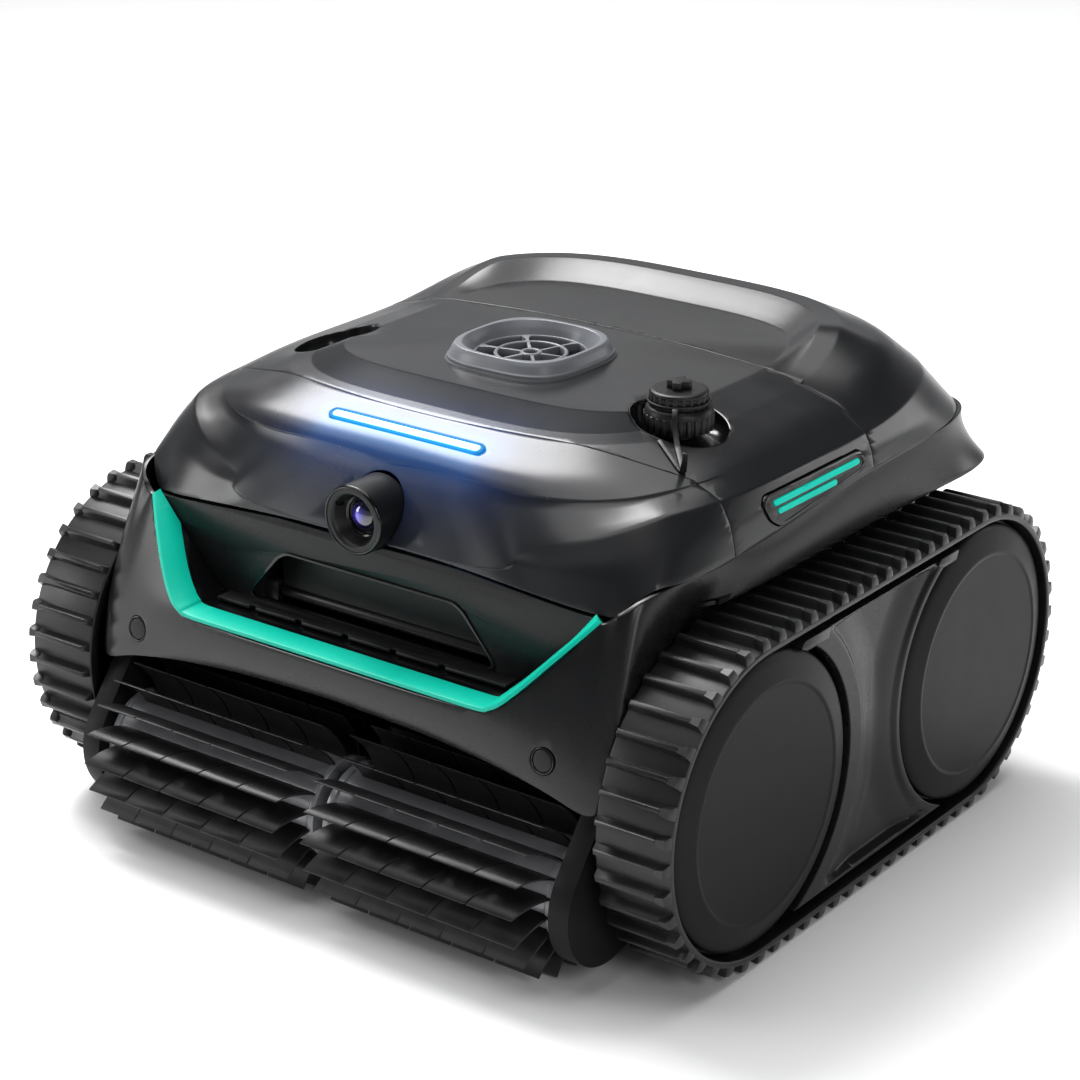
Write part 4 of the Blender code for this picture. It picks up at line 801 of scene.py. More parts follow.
bevel(tub, 0.9, 2, 50.0)
done(tub, "chassis", "dark_plastic", DARK)
ledge = plate("tub_ledge", [[(-177.5, -98), (-177.5, 146), (-170, 162), (-159, 175), (-140, 184), (-119, 188), (0, 193), (119, 188), (140, 184), (159, 175), (170, 162), (177.5, 146), (177.5, -98)],
                            [(x, y) for x, y in plan(WALL) if True]], "z", 184.2, 187.2)
done(ledge, "chassis", "dark_plastic", DARK)
rail = box("rear_rail", -100, 100, 185, 190.5, 183, 204.8)
bevel(rail, 1.2)
done(rail, "chassis", "dark_plastic", DARK)
for side, label in ((-1, "left"), (1, "right")):
    rib = box("pillar_rib_" + label, *sorted((side * 147.7, side * 151.3)), -172.5, -145.7, 121, 147)
    bevel(rib, 0.8)
    done(rib, "chassis", "dark_plastic", DARK)
    x0, x1 = sorted((side * 50.5, side * 60.0))
    knuckle = rod("shell_knuckle_" + label, "x", LID_AXIS, 4.0, x0, x1, 40)
    cut(knuckle, box("arm", x0, x1, 190, LID_AXIS[0], 207, 211.5), operation="UNION")
    cut(knuckle, rod("bore", "x", LID_AXIS, 1.6, -70, 70, 24))
    bevel(knuckle, 0.5)
    done(knuckle, "chassis", "dark_plastic", DARK)
    # round plug: domed disc in a thin ring
    plug = turned("pillar_plug_disc_" + label, rounded_profile([(0, 0.35), (5.2, 0.2), (5.9, -0.3), (5.9, -5.5), (0, -5.5)], 0.5, 3), "z", (0, 0, 0), 64, False)
    collar = turned("pillar_plug_ring_" + label, rounded_profile([(6.0, -4.5), (6.0, 0.05), (6.3, 0.35), (6.8, 0.2), (6.9, -4.5)], 0.15, 2, True), "z", (0, 0, 0), 64)
    for obj in (plug, collar):
        obj.data.transform(Matrix.Translation((side * 135.9 * MM, -187.9 * MM, 122.1 * MM)) @ Matrix.Rotation(math.radians(80), 4, "X"))
    done(plug, "chassis", "black_plastic", BLACK, "pillar_plug_" + label)
    done(collar, "chassis", "black_plastic", GLOSS)

# ------------------------------------------------------------------ front intake
TRIM = ((-149.2, 187.4), (-140.1, 176.6), (-130.1, 165.1), (-120.1, 153.6), (-110.6, 144.1), (-103.8, 140.0), (-96, 138.1), (-60, 137.9), (0, 137.9),
        (60, 137.9), (96, 138.1), (103.8, 140.0), (110.6, 144.1), (120.1, 153.6), (130.1, 165.1), (140.1, 176.6), (149.2, 187.4))


def face_y(z):
    return -189.2 + 31.0 * max(0.0, (z - 140.0) / 48.0) ** 1.25


def inward(curve, offset):
    out = []
    for i, (x, z) in enumerate(curve):
        a, b = curve[max(0, i - 1)], curve[min(len(curve) - 1, i + 1)]
        dx, dz = b[0] - a[0], b[1] - a[1]
        d = math.hypot(dx, dz)
        out.append((x - dz / d * offset, z + dx / d * offset))
    return out


path = finer(finer(finer(list(TRIM))))


def throat(name, front_in, depth_a, depth_b, wall_in, end_in, wide_end):
    """A band that follows the opening; depth_a and depth_b are measured back from the bumper face."""
    made = []
    outer_line, near_line, far_line, far_wide = inward(path, 0.35), inward(path, front_in), inward(path, end_in), inward(path, wide_end)
    for (xo, zo), (xi, zi), (xb, zb), (xw, zw) in zip(outer_line, near_line, far_line, far_wide):
        share = smoothstep((abs(xo) - 98.0) / 12.0)
        xe, ze = xb + (xw - xb) * share, zb + (zw - zb) * share
        front = face_y(zo) + depth_a
        back = min(face_y(zo) + depth_b, -156.2)
        front = min(front, back - 1.0)
        corner = [(xo, front, zo), (xi, front, zi), (xe, back, ze), (xo, back, zo)]
        made.append(rounded_profile(corner, [0.4, 0.7, 0.3, 0.2], 3, True))
    return loft(name, made)


done(throat("teal_band", 2.6, -0.3, 15.0, 0.35, 3.0, 5.6), "chassis", "teal_plastic", TEAL, "teal_trim", angle=35)
# inside of the teal trim drawn in black gloss: painted shade deep in the intake
done(throat("intake_throat", 2.2, 14.0, 40.0, 0.35, 2.8, 5.4), "chassis", "teal_plastic", GLOSS, angle=35)

SURROUND = [(-146, 187.5), (-124, 162), (-110, 146.5), (-100, 142.6), (100, 142.6), (110, 146.5), (124, 162), (146, 187.5), (110, 189.5), (60, 193), (-60, 193), (-110, 189.5)]
WINDOW = rounded_profile([(-82, 146), (-79, 151), (-62, 171), (-56, 174.5), (56, 174.5), (62, 171), (79, 151), (82, 146), (80, 143.9), (-80, 143.9)], 3.0, 4, True)
surround = plate("intake_plate", [SURROUND, WINDOW], "y", -155.5, -152.4)
cut(surround, rod("camera_clear", "y", (0, CAMERA_Z), CAMERA_R + 0.6, -180, -140, 64))
bevel(surround, 0.6, 2, 50)
done(surround, "chassis", "black_plastic", SIDE, "intake_surround")
sill = box("intake_sill", -97, 97, -166.0, -152.6, 141.7, 143.6)
cut(sill, *[box("sill_notch", x - 2.2, x + 2.2, -167, -163.4, 140, 145) for x in (-72, -40, -8, 24, 56)])
bevel(sill, 0.5)
done(sill, "chassis", "black_plastic", BLACK)
rim_out = [(x * 1.008, 159 + (z - 159) * 1.03) for x, z in WINDOW]
lip = plate("window_rim", [rim_out, [(x * 0.985, 159 + (z - 159) * 0.955) for x, z in WINDOW]], "y", -156.3, -154.6)
bevel(lip, 0.4)
done(lip, "chassis", "black_plastic", GLOSS)
tunnel = box("intake_chamber", -84, 84, -151.9, -116, 132, 186)
cut(tunnel, box("inside", -82, 82, -160, -118, 134, 184))
cut(tunnel, box("outlet", -60, 60, -119, -110, 136, 144))
bevel(tunnel, 0.8)
done(tunnel, "chassis", "black_plastic", BLACK, "intake_box")
for side, label in ((-1, "left"), (1, "right")):
    bracket = box("flap_bracket_" + label, *sorted((side * 73.0, side * 82.2)), -144.5, -135.5, 139.5, 150.5)
    cut(bracket, rod("bore", "x", (-140.0, 145.0), 2.2, -90, 90, 32))
    bevel(bracket, 0.7)
    done(bracket, "chassis", "black_plastic", BLACK)
flap = plate("intake_flap", [rounded_profile([(-71.5, 146), (71.5, 146), (71.5, 179), (-71.5, 179)], 4.0, 5, True)], "y", -141.2, -139.0)
bevel(flap, 0.5)
barrel = rod("barrel", "x", (-140.0, 145.0), 3.4, -71.5, 71.5, 40)
bevel(barrel, 0.5)
trunnion = rod("trunnion", "x", (-140.0, 145.0), 1.8, -78.5, 78.5, 32)
ribs = [box("rib", x - 0.7, x + 0.7, -139.4, -137.4, 150.5, 176.5) for x in (-54, -36, -18, 0, 18, 36, 54)]
done(join("intake_flap", [flap, barrel, trunnion] + ribs), "front_flap", "black_plastic", BLACK, "front_flap")

# ------------------------------------------------------------------ vent ring and grille
def squircle(r, n_exp, z, count=120, cy=VENT_Y):
    pts = []
    for i in range(count):
        t = 2 * math.pi * i / count
        c, s = math.cos(t), math.sin(t)
        k = (abs(c) ** n_exp + abs(s) ** n_exp) ** (-1 / n_exp)
        pts.append((r * k * c, cy + r * k * s, z))
    return pts


def ring_profile(points, soft, steps=4):
    """Rings of a rounded square whose size, squareness and height follow a softened closed profile."""
    return [squircle(r, n, z) for r, n, z in rounded_profile(points, soft, steps, True)]


loft_rings = ring_profile([(39.8, 3.3, 257.6), (39.8, 3.3, 260.6), (39.0, 3.3, 261.4), (37.6, 3.2, 265.2), (36.4, 3.1, 267.4), (34.2, 2.7, 267.4), (32.6, 2.3, 263.4), (31.6, 2.0, 259.6), (31.6, 2.0, 250.5), (32.8, 2.0, 250.5), (32.8, 2.0, 257.6)],
                          [0.3, 0.3, 0.4, 0.6, 0.5, 0.5, 0.8, 0.5, 0.3, 0.3, 0.3])
ring = loft("vent_ring_shell", loft_rings, cyclic=True)
done(ring, "chassis", "grey_plastic", GREY, "vent_ring", angle=35)
base = loft("vent_ring_base", [squircle(r, 3.3, z) for r, z in ((40.8, 257.2), (41.0, 258.4), (40.6, 259.0), (39.0, 259.2), (33.0, 259.2), (33.0, 257.2))], cyclic=True)
done(base, "chassis", "grey_plastic", PUMP)
SPOKES = 6
bars = [turned("hub", rounded_profile([(3.6, 255.4), (3.6, 260.2), (4.2, 260.9), (5.6, 260.9), (6.2, 260.2), (6.2, 255.4)], 0.4, 3, True), "z", (0, VENT_Y, 0), 64),
        turned("mid_ring", rounded_profile([(18.0, 255.6), (18.0, 260.2), (18.6, 260.7), (19.6, 260.7), (20.2, 260.2), (20.2, 255.6)], 0.4, 3, True), "z", (0, VENT_Y, 0), 96),
        turned("outer_ring", rounded_profile([(29.9, 255.0), (29.9, 259.6), (30.4, 260.4), (31.4, 260.2), (31.4, 255.0)], 0.4, 3, True), "z", (0, VENT_Y, 0), 96)]
for k in range(SPOKES):
    a = 2 * math.pi * k / SPOKES + math.radians(12)
    spoke = plate("spoke", [[(5.6, -0.95), (18.4, -0.8), (25.6, -1.1), (30.6, -3.0), (30.6, 3.0), (25.6, 1.1), (18.4, 0.8), (5.6, 0.95)]], "z", 255.8, 260.3)
    bevel(spoke, 0.4)
    spoke.data.transform(Matrix.Translation((0, VENT_Y * MM, 0)) @ Matrix.Rotation(a, 4, "Z"))
    bars.append(spoke)
done(join("vent_grille_bars", bars), "chassis", "grey_plastic", GREY, "vent_grille", angle=35)

# ------------------------------------------------------------------ recesses, button, cap
def hood_top(x, y):
    """Height of the hood's outer skin above a plan point, by casting down on the finished covers."""
    best = None
    for obj in (mid, visor):
        hit, at, normal, index = obj.ray_cast(Vector((x * MM, (y + ORIGIN_Y) * MM, 0.4)), Vector((0, 0, -1)))
        if hit and (best is None or at.z > best):
            best = at.z
    return None if best is None else best / MM


bpy.context.view_layer.update()


def top_on(x, y):
    """Hood height just outside a recess, looking outward from its centre a little."""
    for obj in (mid,):
        hit, at, normal, index = obj.ray_cast(Vector((x * MM, (y + ORIGIN_Y) * MM, 0.4)), Vector((0, 0, -1)))
        if hit and at.z > 0.225:
            return at.z / MM
    return 252.0


def scaled(outline, share, shift=(0.0, 0.0)):
    cx = sum(p[0] for p in outline) / len(outline)
    cy = sum(p[1] for p in outline) / len(outline)
    return [(cx + (x - cx) * share + shift[0], cy + (y - cy) * share + shift[1]) for x, y in outline]


def recess(name, outline, floor_z, floor_share, lip_in=0.988):
    """Bowl that starts flush with the cover round an outline and rounds down to a flat floor."""
    outside = scaled(outline, 1.045)
    heights = [top_on(x, y) for x, y in outside]
    n = len(outline)
    heights = [sum(heights[(i + k) % n] for k in (-2, -1, 0, 1, 2)) / 5 for i in range(n)]
    rings = []
    steps = 14
    for k in range(steps + 1):
        t = k / steps
        share = lip_in + (floor_share - lip_in) * (1 - math.cos(t * math.pi / 2))
        drop = math.sin(t * math.pi / 2)
        ring_pts = scaled(outline, share)
        rings.append([(x, y, (h - 0.25) + (floor_z - h + 0.25) * drop) for (x, y), h in zip(ring_pts, heights)])
    rings.append([(x, y, floor_z) for x, y in scaled(outline, floor_share * 0.97)])
    under = [(x, y, floor_z - 2.0) for x, y in scaled(outline, floor_share)]
    skirt_ring = [(x, y, floor_z - 2.0) for x, y in scaled(outline, 0.996)]
    top_ring = [(x, y, h - 0.45) for (x, y), h in zip(scaled(outline, 0.996), heights)]
    edge_ring = [(x, y, h - 0.1) for (x, y), h in zip(scaled(outline, 0.992), heights)]
    return loft(name, [edge_ring] + rings + [under, skirt_ring, top_ring], cyclic=True), heights


left_bowl, _ = recess("button_recess", RECESS, 238.5, 0.70)
done(left_bowl, "chassis", "graphite_plastic", GRAPHITE, "recess_cup_left", angle=50)
floor_plate = plate("button_recess_floor", [scaled(RECESS, 0.72), circle(-CUP_X, CUP_Y, 10.2, 48)], "z", 236.2, 238.6)
done(floor_plate, "chassis", "graphite_plastic", GLOSS)
button = turned("power_button_cap", rounded_profile([(0.0, 240.6), (6.0, 240.6), (7.2, 241.0), (8.8, 241.0), (9.6, 240.0), (9.6, 231.0), (11.6, 231.0), (11.6, 229.4), (0.0, 229.4)], [0, 0.5, 0.4, 0.6, 0.6, 0.2, 0.4, 0.4, 0], 3), "z", (-CUP_X, CUP_Y, 0), 64, False)
done(button, "power_button", "black_plastic", BLACK, "power_button")

BOWL = circle(CUP_X, CUP_Y, CUP_R, 96)
right_bowl, right_heights = recess("cap_recess", BOWL, 240.5, 0.66, 0.985)
done(right_bowl, "chassis", "graphite_plastic", GLOSS, "recess_cup_right", angle=50)
boss = turned("socket_boss", rounded_profile([(0.0, 247.6), (8.0, 247.6), (8.0, 244.5), (11.0, 243.5), (17.6, 240.4), (17.6, 238.0), (0.0, 238.0)], [0, 0.8, 0.3, 0.6, 0.2, 0.2, 0], 3), "z", (CUP_X, CUP_Y, 0), 72, False)
done(boss, "chassis", "graphite_plastic", BLACK)
# thin bright rim on the outer side of the bowl
rim_rings = []
n = len(BOWL)
for share, lift in ((0.975, -0.6), (0.982, 0.25), (1.0, 0.45), (1.012, 0.1), (1.006, -0.8), (0.985, -1.2)):
    rim_rings.append([(x, y, h + lift) for (x, y), h in zip(scaled(BOWL, share), right_heights)])
done(loft("cap_recess_rim", rim_rings, cyclic=True), "chassis", "graphite_plastic", GLOSS, angle=50)

knurl = []
RIBS = 26
for i in range(RIBS):
    t = 2 * math.pi * i / RIBS
    for dt, r in ((0.0, 18.3), (0.10, 18.3), (0.13, 17.3), (0.21, 17.3)):
        knurl.append((CUP_X + r * math.cos(t + dt), CUP_Y - 1 + r * math.sin(t + dt)))
skirt_part = plate("cap_knurl", [knurl], "z", 249.2, 258.0)
bevel(skirt_part, 0.4, 2, 40)
shoulder = turned("cap_shoulder", rounded_profile([(0.0, 262.0), (15.6, 262.0), (17.2, 260.4), (17.7, 258.2), (17.7, 257.0), (0.0, 257.0)], [0, 1.0, 1.2, 0.6, 0.3, 0], 4), "z", (CUP_X, CUP_Y - 1, 0), 96, False)
neck_ribs = []
for i in range(22):
    t = 2 * math.pi * i / 22
    for dt, r in ((0.0, 15.3), (0.10, 15.3), (0.14, 14.5), (0.24, 14.5)):
        neck_ribs.append((CUP_X + r * math.cos(t + dt), CUP_Y - 1 + r * math.sin(t + dt)))
neck = plate("cap_neck", [neck_ribs], "z", 260.5, 268.6)
bevel(neck, 0.3, 1, 40)
top_disc = turned("cap_disc", rounded_profile([(0.0, 270.2), (13.4, 270.2), (15.0, 269.6), (15.3, 268.4), (15.0, 267.4), (0.0, 267.4)], [0, 0.6, 0.5, 0.6, 0.4, 0], 4), "z", (CUP_X, CUP_Y - 1, 0), 96, False)
knob = plate("cap_cross", [rounded_profile([(-2.2, -6.2), (2.2, -6.2), (2.6, -2.6), (6.2, -2.2), (6.2, 2.2), (2.6, 2.6), (2.2, 6.2), (-2.2, 6.2), (-2.6, 2.6), (-6.2, 2.2), (-6.2, -2.2), (-2.6, -2.6)], 0.8, 3, True)], "z", 269.8, 274.4)
bevel(knob, 0.6, 2, 50)
knob.data.transform(Matrix.Translation((CUP_X * MM, (CUP_Y - 1) * MM, 0)) @ Matrix.Rotation(math.radians(20), 4, "Z"))
done(join("charging_cap_body", [skirt_part, shoulder, neck, top_disc, knob]), "charge_cap", "black_plastic", BLACK, "charge_cap", angle=35)

# tether: a band round the neck, a strap down the front, and a loop lying on the slope
def ribbon(name, points, width, thick, side=Vector((0.94, 0.34, 0))):
    rings = []
    pts = [Vector(p) for p in points]
    for i, p in enumerate(pts):
        forward = (pts[min(i + 1, len(pts) - 1)] - pts[max(i - 1, 0)]).normalized()
        across = (side - forward * side.dot(forward)).normalized()
        up = across.cross(forward).normalized()
        w, t = width / 2, thick / 2
        corner = [p + across * w + up * t, p - across * w + up * t, p - across * w - up * t, p + across * w - up * t]
        rings.append([tuple(c) for c in corner])
    obj = loft(name, rings)
    return bevel(obj, min(width, thick) * 0.22, 2, 50)


def polar(r, degrees, z):
    t = math.radians(degrees)
    return (CUP_X + r * math.cos(t), CUP_Y - 1 + r * math.sin(t), z)


FRONT = -62.0
TIP = (147.0, -85.0)


def on_slope(start, end, lift, count):
    out = []
    for i in range(count + 1):
        t = i / count
        x, y = start[0] + (end[0] - start[0]) * t, start[1] + (end[1] - start[1]) * t
        out.append((x, y, top_on(x, y) + lift))
    return out


band = turned("tether_band", rounded_profile([(15.3, 263.3), (16.5, 263.3), (16.7, 264.9), (15.3, 264.9)], 0.4, 3, True), "z", (CUP_X, CUP_Y - 1, 0), 96)
strap = ribbon("tether_strap", [polar(15.8, FRONT, 264.2), polar(18.6, FRONT, 263.2), polar(20.6, FRONT, 260.0), polar(21.8, FRONT, 257.2), polar(24.0, -60.0, 255.0)] + on_slope(polar(28.0, -57.0, 0), TIP, 1.3, 6), 2.8, 1.2)
leg = ribbon("tether_leg", on_slope(polar(28.0, -76.0, 0), TIP, 1.0, 7), 2.0, 1.0)
done(join("cap_tether_strap", [band, strap, leg]), "chassis", "track_rubber", BLACK, "cap_tether", angle=40)

# ------------------------------------------------------------------ side badges
def hood_patch(name, angle_lo, angle_hi, out_by, in_by, n=40):
    rows_out, rows_in = [], []
    for i in range(n + 1):
        a = angle_lo + (angle_hi - angle_lo) * i / n
        a = math.copysign(abs(a) ** 1.6, a)
        full = hood_profile(a)
        tail = full[-26:]
        rows_out.append([(p.x + out_by, p.y, p.z + 0.15 * out_by) for p in tail])
        rows_in.append([(p.x - in_by, p.y, p.z - 0.15 * in_by) for p in tail])
    return slab(name, rows_out, rows_in)


def bar(y0, y1, z0, z1):
    r = (z1 - z0) / 2
    return [(y1 - r + r * math.cos(t), (z0 + z1) / 2 + r * math.sin(t)) for t in [math.pi * (i / 8 - 0.5) for i in range(9)]] + \
           [(y0 + r + r * math.cos(t), (z0 + z1) / 2 + r * math.sin(t)) for t in [math.pi * (i / 8 + 0.5) for i in range(9)]]


LONG_BAR, SHORT_BAR = bar(-45.6, 35.8, 219.5, 222.6), bar(-42.6, 12.6, 214.8, 217.9)
panel = hood_patch("badge_plate_right", -0.75, 0.55, 0.55, 2.4)
cut(panel, plate("outline", [PANEL], "x", 150, 190), operation="INTERSECT")
cut(panel, plate("bar_cut", [grown(LONG_BAR, 0.3, -5, 221)], "x", 150, 190), plate("bar_cut2", [grown(SHORT_BAR, 0.3, -15, 216.3)], "x", 150, 190))
bevel(panel, 0.35, 2, 50, clamp=False)
lights = []
for name, outline in (("long", LONG_BAR), ("short", SHORT_BAR)):
    strip = hood_patch("badge_bar_" + name, -0.75, 0.55, 1.0, 1.4)
    cut(strip, plate("outline", [outline], "x", 150, 190), operation="INTERSECT")
    bevel(strip, 0.35, 2, 50, clamp=False)
    lights.append(strip)
bars_right = join("badge_bars_right", lights)
frame_in = grown(PANEL, -1.7, -7, 217.5)
edge = hood_patch("badge_edge_right", -0.75, 0.55, 0.95, 0.6)
cut(edge, plate("outline", [PANEL], "x", 150, 190), operation="INTERSECT")
cut(edge, plate("inner", [frame_in], "x", 150, 190))
bevel(edge, 0.3, 2, 50, clamp=False)
panel_left, bars_left, edge_left = twin(panel, "badge_plate_left"), twin(bars_right, "badge_bars_left"), twin(edge, "badge_edge_left")
for label, p, b, e in (("right", panel, bars_right, edge), ("left", panel_left, bars_left, edge_left)):
    done(p, "chassis", "black_plastic", DARK, "badge_panel_" + label)
    done(b, "chassis", "teal_plastic", BADGE, "badge_light_" + label)
    done(e, "chassis", "black_plastic", GLOSS)

# ------------------------------------------------------------------ tracks
LENGTH = 2 * (2 * WHEELBASE_HALF + math.pi * BELT_OUT_R)
PITCH = LENGTH / LUGS


def track_frame(s):
    """Centre, outward direction at arc length s along the belt's outer face."""
    straight, bend = 2 * WHEELBASE_HALF, math.pi * BELT_OUT_R
    s %= 2 * (straight + bend)
    if s < straight:
        return Vector((-WHEELBASE_HALF + s, AXLE_Z)), Vector((0, -1))
    s -= straight
    if s < bend:
        t = -math.pi / 2 + s / BELT_OUT_R
        return Vector((WHEELBASE_HALF, AXLE_Z)), Vector((math.cos(t), math.sin(t)))
    s -= bend
    if s < straight:
        return Vector((WHEELBASE_HALF - s, AXLE_Z)), Vector((0, 1))
    s -= straight
    t = math.pi / 2 + s / BELT_OUT_R
    return Vector((-WHEELBASE_HALF, AXLE_Z)), Vector((math.cos(t), math.sin(t)))


def track_at(s, r):
    centre, out = track_frame(s)
    return centre + out * r


section_pts = rounded_profile([(TRACK_X0, BELT_IN_R + 0.1), (TRACK_X0, BELT_OUT_R), (TRACK_X1, BELT_OUT_R), (TRACK_X1, BELT_IN_R + 0.1)], 1.1, 3, True)
belt_rings = []
N = LUGS * 5
for i in range(N):
    s = LENGTH * i / N
    ring_pts = []
    for x, r in section_pts:
        p = track_at(s, r)
        ring_pts.append((x, p.x, p.y))
    belt_rings.append(ring_pts)
belt = loft("belt", belt_rings, cyclic=True)


def lug_rings():
    """A thin cross fin: wide foot, narrow flat tip, both ends drawn in towards the tip."""
    out = []
    for half_u, x0, x1, v in ((2.7, 170.9, 212.6, -0.5), (2.3, 171.0, 212.2, 0.7), (1.75, 171.3, 211.2, 2.4), (1.5, 171.8, 209.8, 3.9), (1.35, 172.6, 208.2, 4.9), (1.05, 173.2, 207.4, 5.35)):
        pts = rounded_profile([(x0, -half_u), (x1, -half_u), (x1, half_u), (x0, half_u)], 0.5, 2, True)
        out.append([(x, u, v) for x, u in pts])
    return out


def end_rings():
    """Small wedge block that closes each fin at the rim side."""
    out = []
    for half_u, x0, x1, v in ((3.7, 206.8, 214.2, -0.5), (3.5, 206.9, 214.1, 1.2), (3.0, 207.0, 213.8, 3.4), (2.5, 207.3, 213.0, 5.0)):
        pts = rounded_profile([(x0, -half_u * 0.55), (x1, -half_u), (x1, half_u), (x0, half_u * 0.55)], [0.3, 0.7, 0.7, 0.3], 2, True)
        out.append([(x, u, v) for x, u in pts])
    return out


bm = bmesh.new()
bm.from_mesh(belt.data)
bpy.data.objects.remove(belt, do_unlink=True)
for k in range(LUGS):
    s = k * PITCH
    centre, outward = track_frame(s)
    travel = Vector((-outward.y, outward.x))
    for rings in (lug_rings(), end_rings()):
        made = []
        for ring_pts in rings:
            row = []
            for x, u, v in ring_pts:
                p = centre + outward * (BELT_OUT_R + v) + travel * u
                row.append(bm.verts.new((x * MM, p.x * MM, p.y * MM)))
            made.append(row)
        count = len(made[0])
        for low, high in zip(made, made[1:]):
            for i in range(count):
                j = (i + 1) % count
                bm.faces.new((low[i], low[j], high[j], high[i]))
        bm.faces.new(made[-1])
        bm.faces.new(list(reversed(made[0])))
track = from_bmesh("track_belt_right", bm)
track_left = twin(track, "track_belt_left")
done(track, "chassis", "track_rubber", RUBBER, "track_right", angle=38)
done(track_left, "chassis", "track_rubber", RUBBER, "track_left", angle=38)

# ------------------------------------------------------------------ wheels and hub discs
SIDEWAYS = Matrix(((0, 0, 1, 0), (1, 0, 0, 0), (0, 1, 0, 0), (0, 0, 0, 1)))
for end, y in (("front", -WHEELBASE_HALF), ("rear", WHEELBASE_HALF)):
    wheel = turned(f"{end}_wheel_drum_right", rounded_profile([(79.6, 206.2), (79.6, 173.2), (76.0, 173.2), (76.0, 190.0), (14.0, 190.0), (14.0, 176.0), (6.4, 176.0), (6.4, 205.0), (14.0, 205.0), (14.0, 194.0), (76.0, 194.0), (76.0, 206.2)], 0.6, 2, True), "z", (0, 0, 0), 120)
    disc = turned(f"{end}_hub_disc_right", rounded_profile([(0.0, 214.7), (61.5, 214.7), (63.4, 215.3), (75.8, 212.0), (78.4, 210.2), (78.5, 206.9), (0.0, 206.9)], [0, 0.5, 1.3, 3.0, 1.4, 0.4, 0], 5), "z", (0, 0, 0), 160, False)
    for obj, slot_mat, node_name in ((wheel, BLACK, f"{end}_wheel"), (disc, MATTE, f"{end}_disc")):
        obj.data.transform(Matrix.Translation((0, y * MM, AXLE_Z * MM)) @ SIDEWAYS)
        left = twin(obj, obj.name.replace("right", "left"))
        for piece, label in ((obj, "right"), (left, "left")):
            body = ("drive_" if end == "front" else "rear_wheel_set_") + label
            done(piece, body, "black_plastic", slot_mat, f"{node_name}_{label}", angle=32)

# ------------------------------------------------------------------ side frames
def arc_y(z, r, cy, sign):
    return cy + sign * math.sqrt(max(0.0, r * r - (z - AXLE_Z) ** 2))


front_grid, back_grid = [], []
ZN, TN = 72, 64
for i in range(ZN + 1):
    z = 14.5 + (165.5 - 14.5) * i / ZN
    ya, yb = arc_y(z, 82.4, -WHEELBASE_HALF, 1), arc_y(z, 80.9, WHEELBASE_HALF, -1)
    row_f, row_b = [], []
    for j in range(TN + 1):
        t = j / TN
        y = ya + (yb - ya) * t
        d1 = math.hypot(y + WHEELBASE_HALF, z - AXLE_Z) - 82.4
        d2 = math.hypot(y - WHEELBASE_HALF, z - AXLE_Z) - 80.9
        ends = smoothstep((165.5 - 1.2 - z) / 2.4) * smoothstep((z - 14.5 - 1.6) / 3.0)
        strip = smoothstep((d1 - 11.0) / 3.4)
        hollow_depth = 2.0 * strip * smoothstep((d2 - 3.0) / 4.0) * ends
        bowl_depth = 3.6 * smoothstep((d1 - 12.0) / 26.0) * smoothstep((d2 - 4.0) / 24.0) * ends
        x = 212.4 - hollow_depth - bowl_depth
        row_f.append((x, y, z))
        row_b.append((203.6, y, z))
    front_grid.append(row_f)
    back_grid.append(row_b)
side = slab("side_panel_right", front_grid, back_grid)
bevel(side, 0.7, 2, 55)
arm = box("arm", 152.4, 204.5, -20, 20, 45, 135)
cut(arm, box("inside", 150, 200.0, -16, 16, 49, 131))
bevel(arm, 1.0)
# raised clips at the two upper ears
clips = []
for y0, y1, z0, z1, lean in ((-78.0, -50.0, 160.2, 166.0, 0.0), (58.0, 80.0, 160.8, 166.2, 0.0)):
    clip = plate("clip", [rounded_profile([(y0, z0 + 2.6), (y0 + 3.0, z1), (y1, z1), (y1 - 2.0, z0), (y0 + 6.0, z0)], 1.2, 3, True)], "x", 205.0, 213.4)
    bevel(clip, 0.6, 2, 50)
    clips.append(clip)
side = join("side_panel_right", [side, arm] + clips)
side_left = twin(side, "side_panel_left")
done(side, "chassis", "dark_plastic", SIDE, "side_frame_right", angle=30)
done(side_left, "chassis", "dark_plastic", SIDE, "side_frame_left", angle=30)

# ------------------------------------------------------------------ brushes
BLADES, SEGS = 18, 5


def blade_piece(bm, angle, x_left, x_right, slant, r0=24.0, r1=BRUSH_R - 0.15, thick0=1.5, thick1=0.85, steps=7, sweep=0.25):
    """One segment of a blade: a thin curved paddle whose two side edges lean along the roller."""
    rows = []
    for k in range(steps + 1):
        t = k / steps
        r = r0 + (r1 - r0) * t
        lean = slant * (t ** 1.6)
        a = angle + sweep * t ** 1.7
        th = (thick0 + (thick1 - thick0) * t) / 2
        radial = Vector((math.cos(a), math.sin(a)))
        tangent = Vector((-radial.y, radial.x))
        row = []
        for x, sgn in ((x_left + lean, -1), (x_right + lean, -1), (x_right + lean, 1), (x_left + lean, 1)):
            p = Vector((BRUSH_Y, BRUSH_Z)) + radial * r + tangent * th * sgn
            row.append(bm.verts.new((x * MM, p.x * MM, p.y * MM)))
        rows.append(row)
    for low, high in zip(rows, rows[1:]):
        for i in range(4):
            j = (i + 1) % 4
            bm.faces.new((low[i], low[j], high[j], high[i]))
    bm.faces.new(rows[-1])
    bm.faces.new(list(reversed(rows[0])))


X0, X1 = 4.2, 150.6
SLANT = 9.0


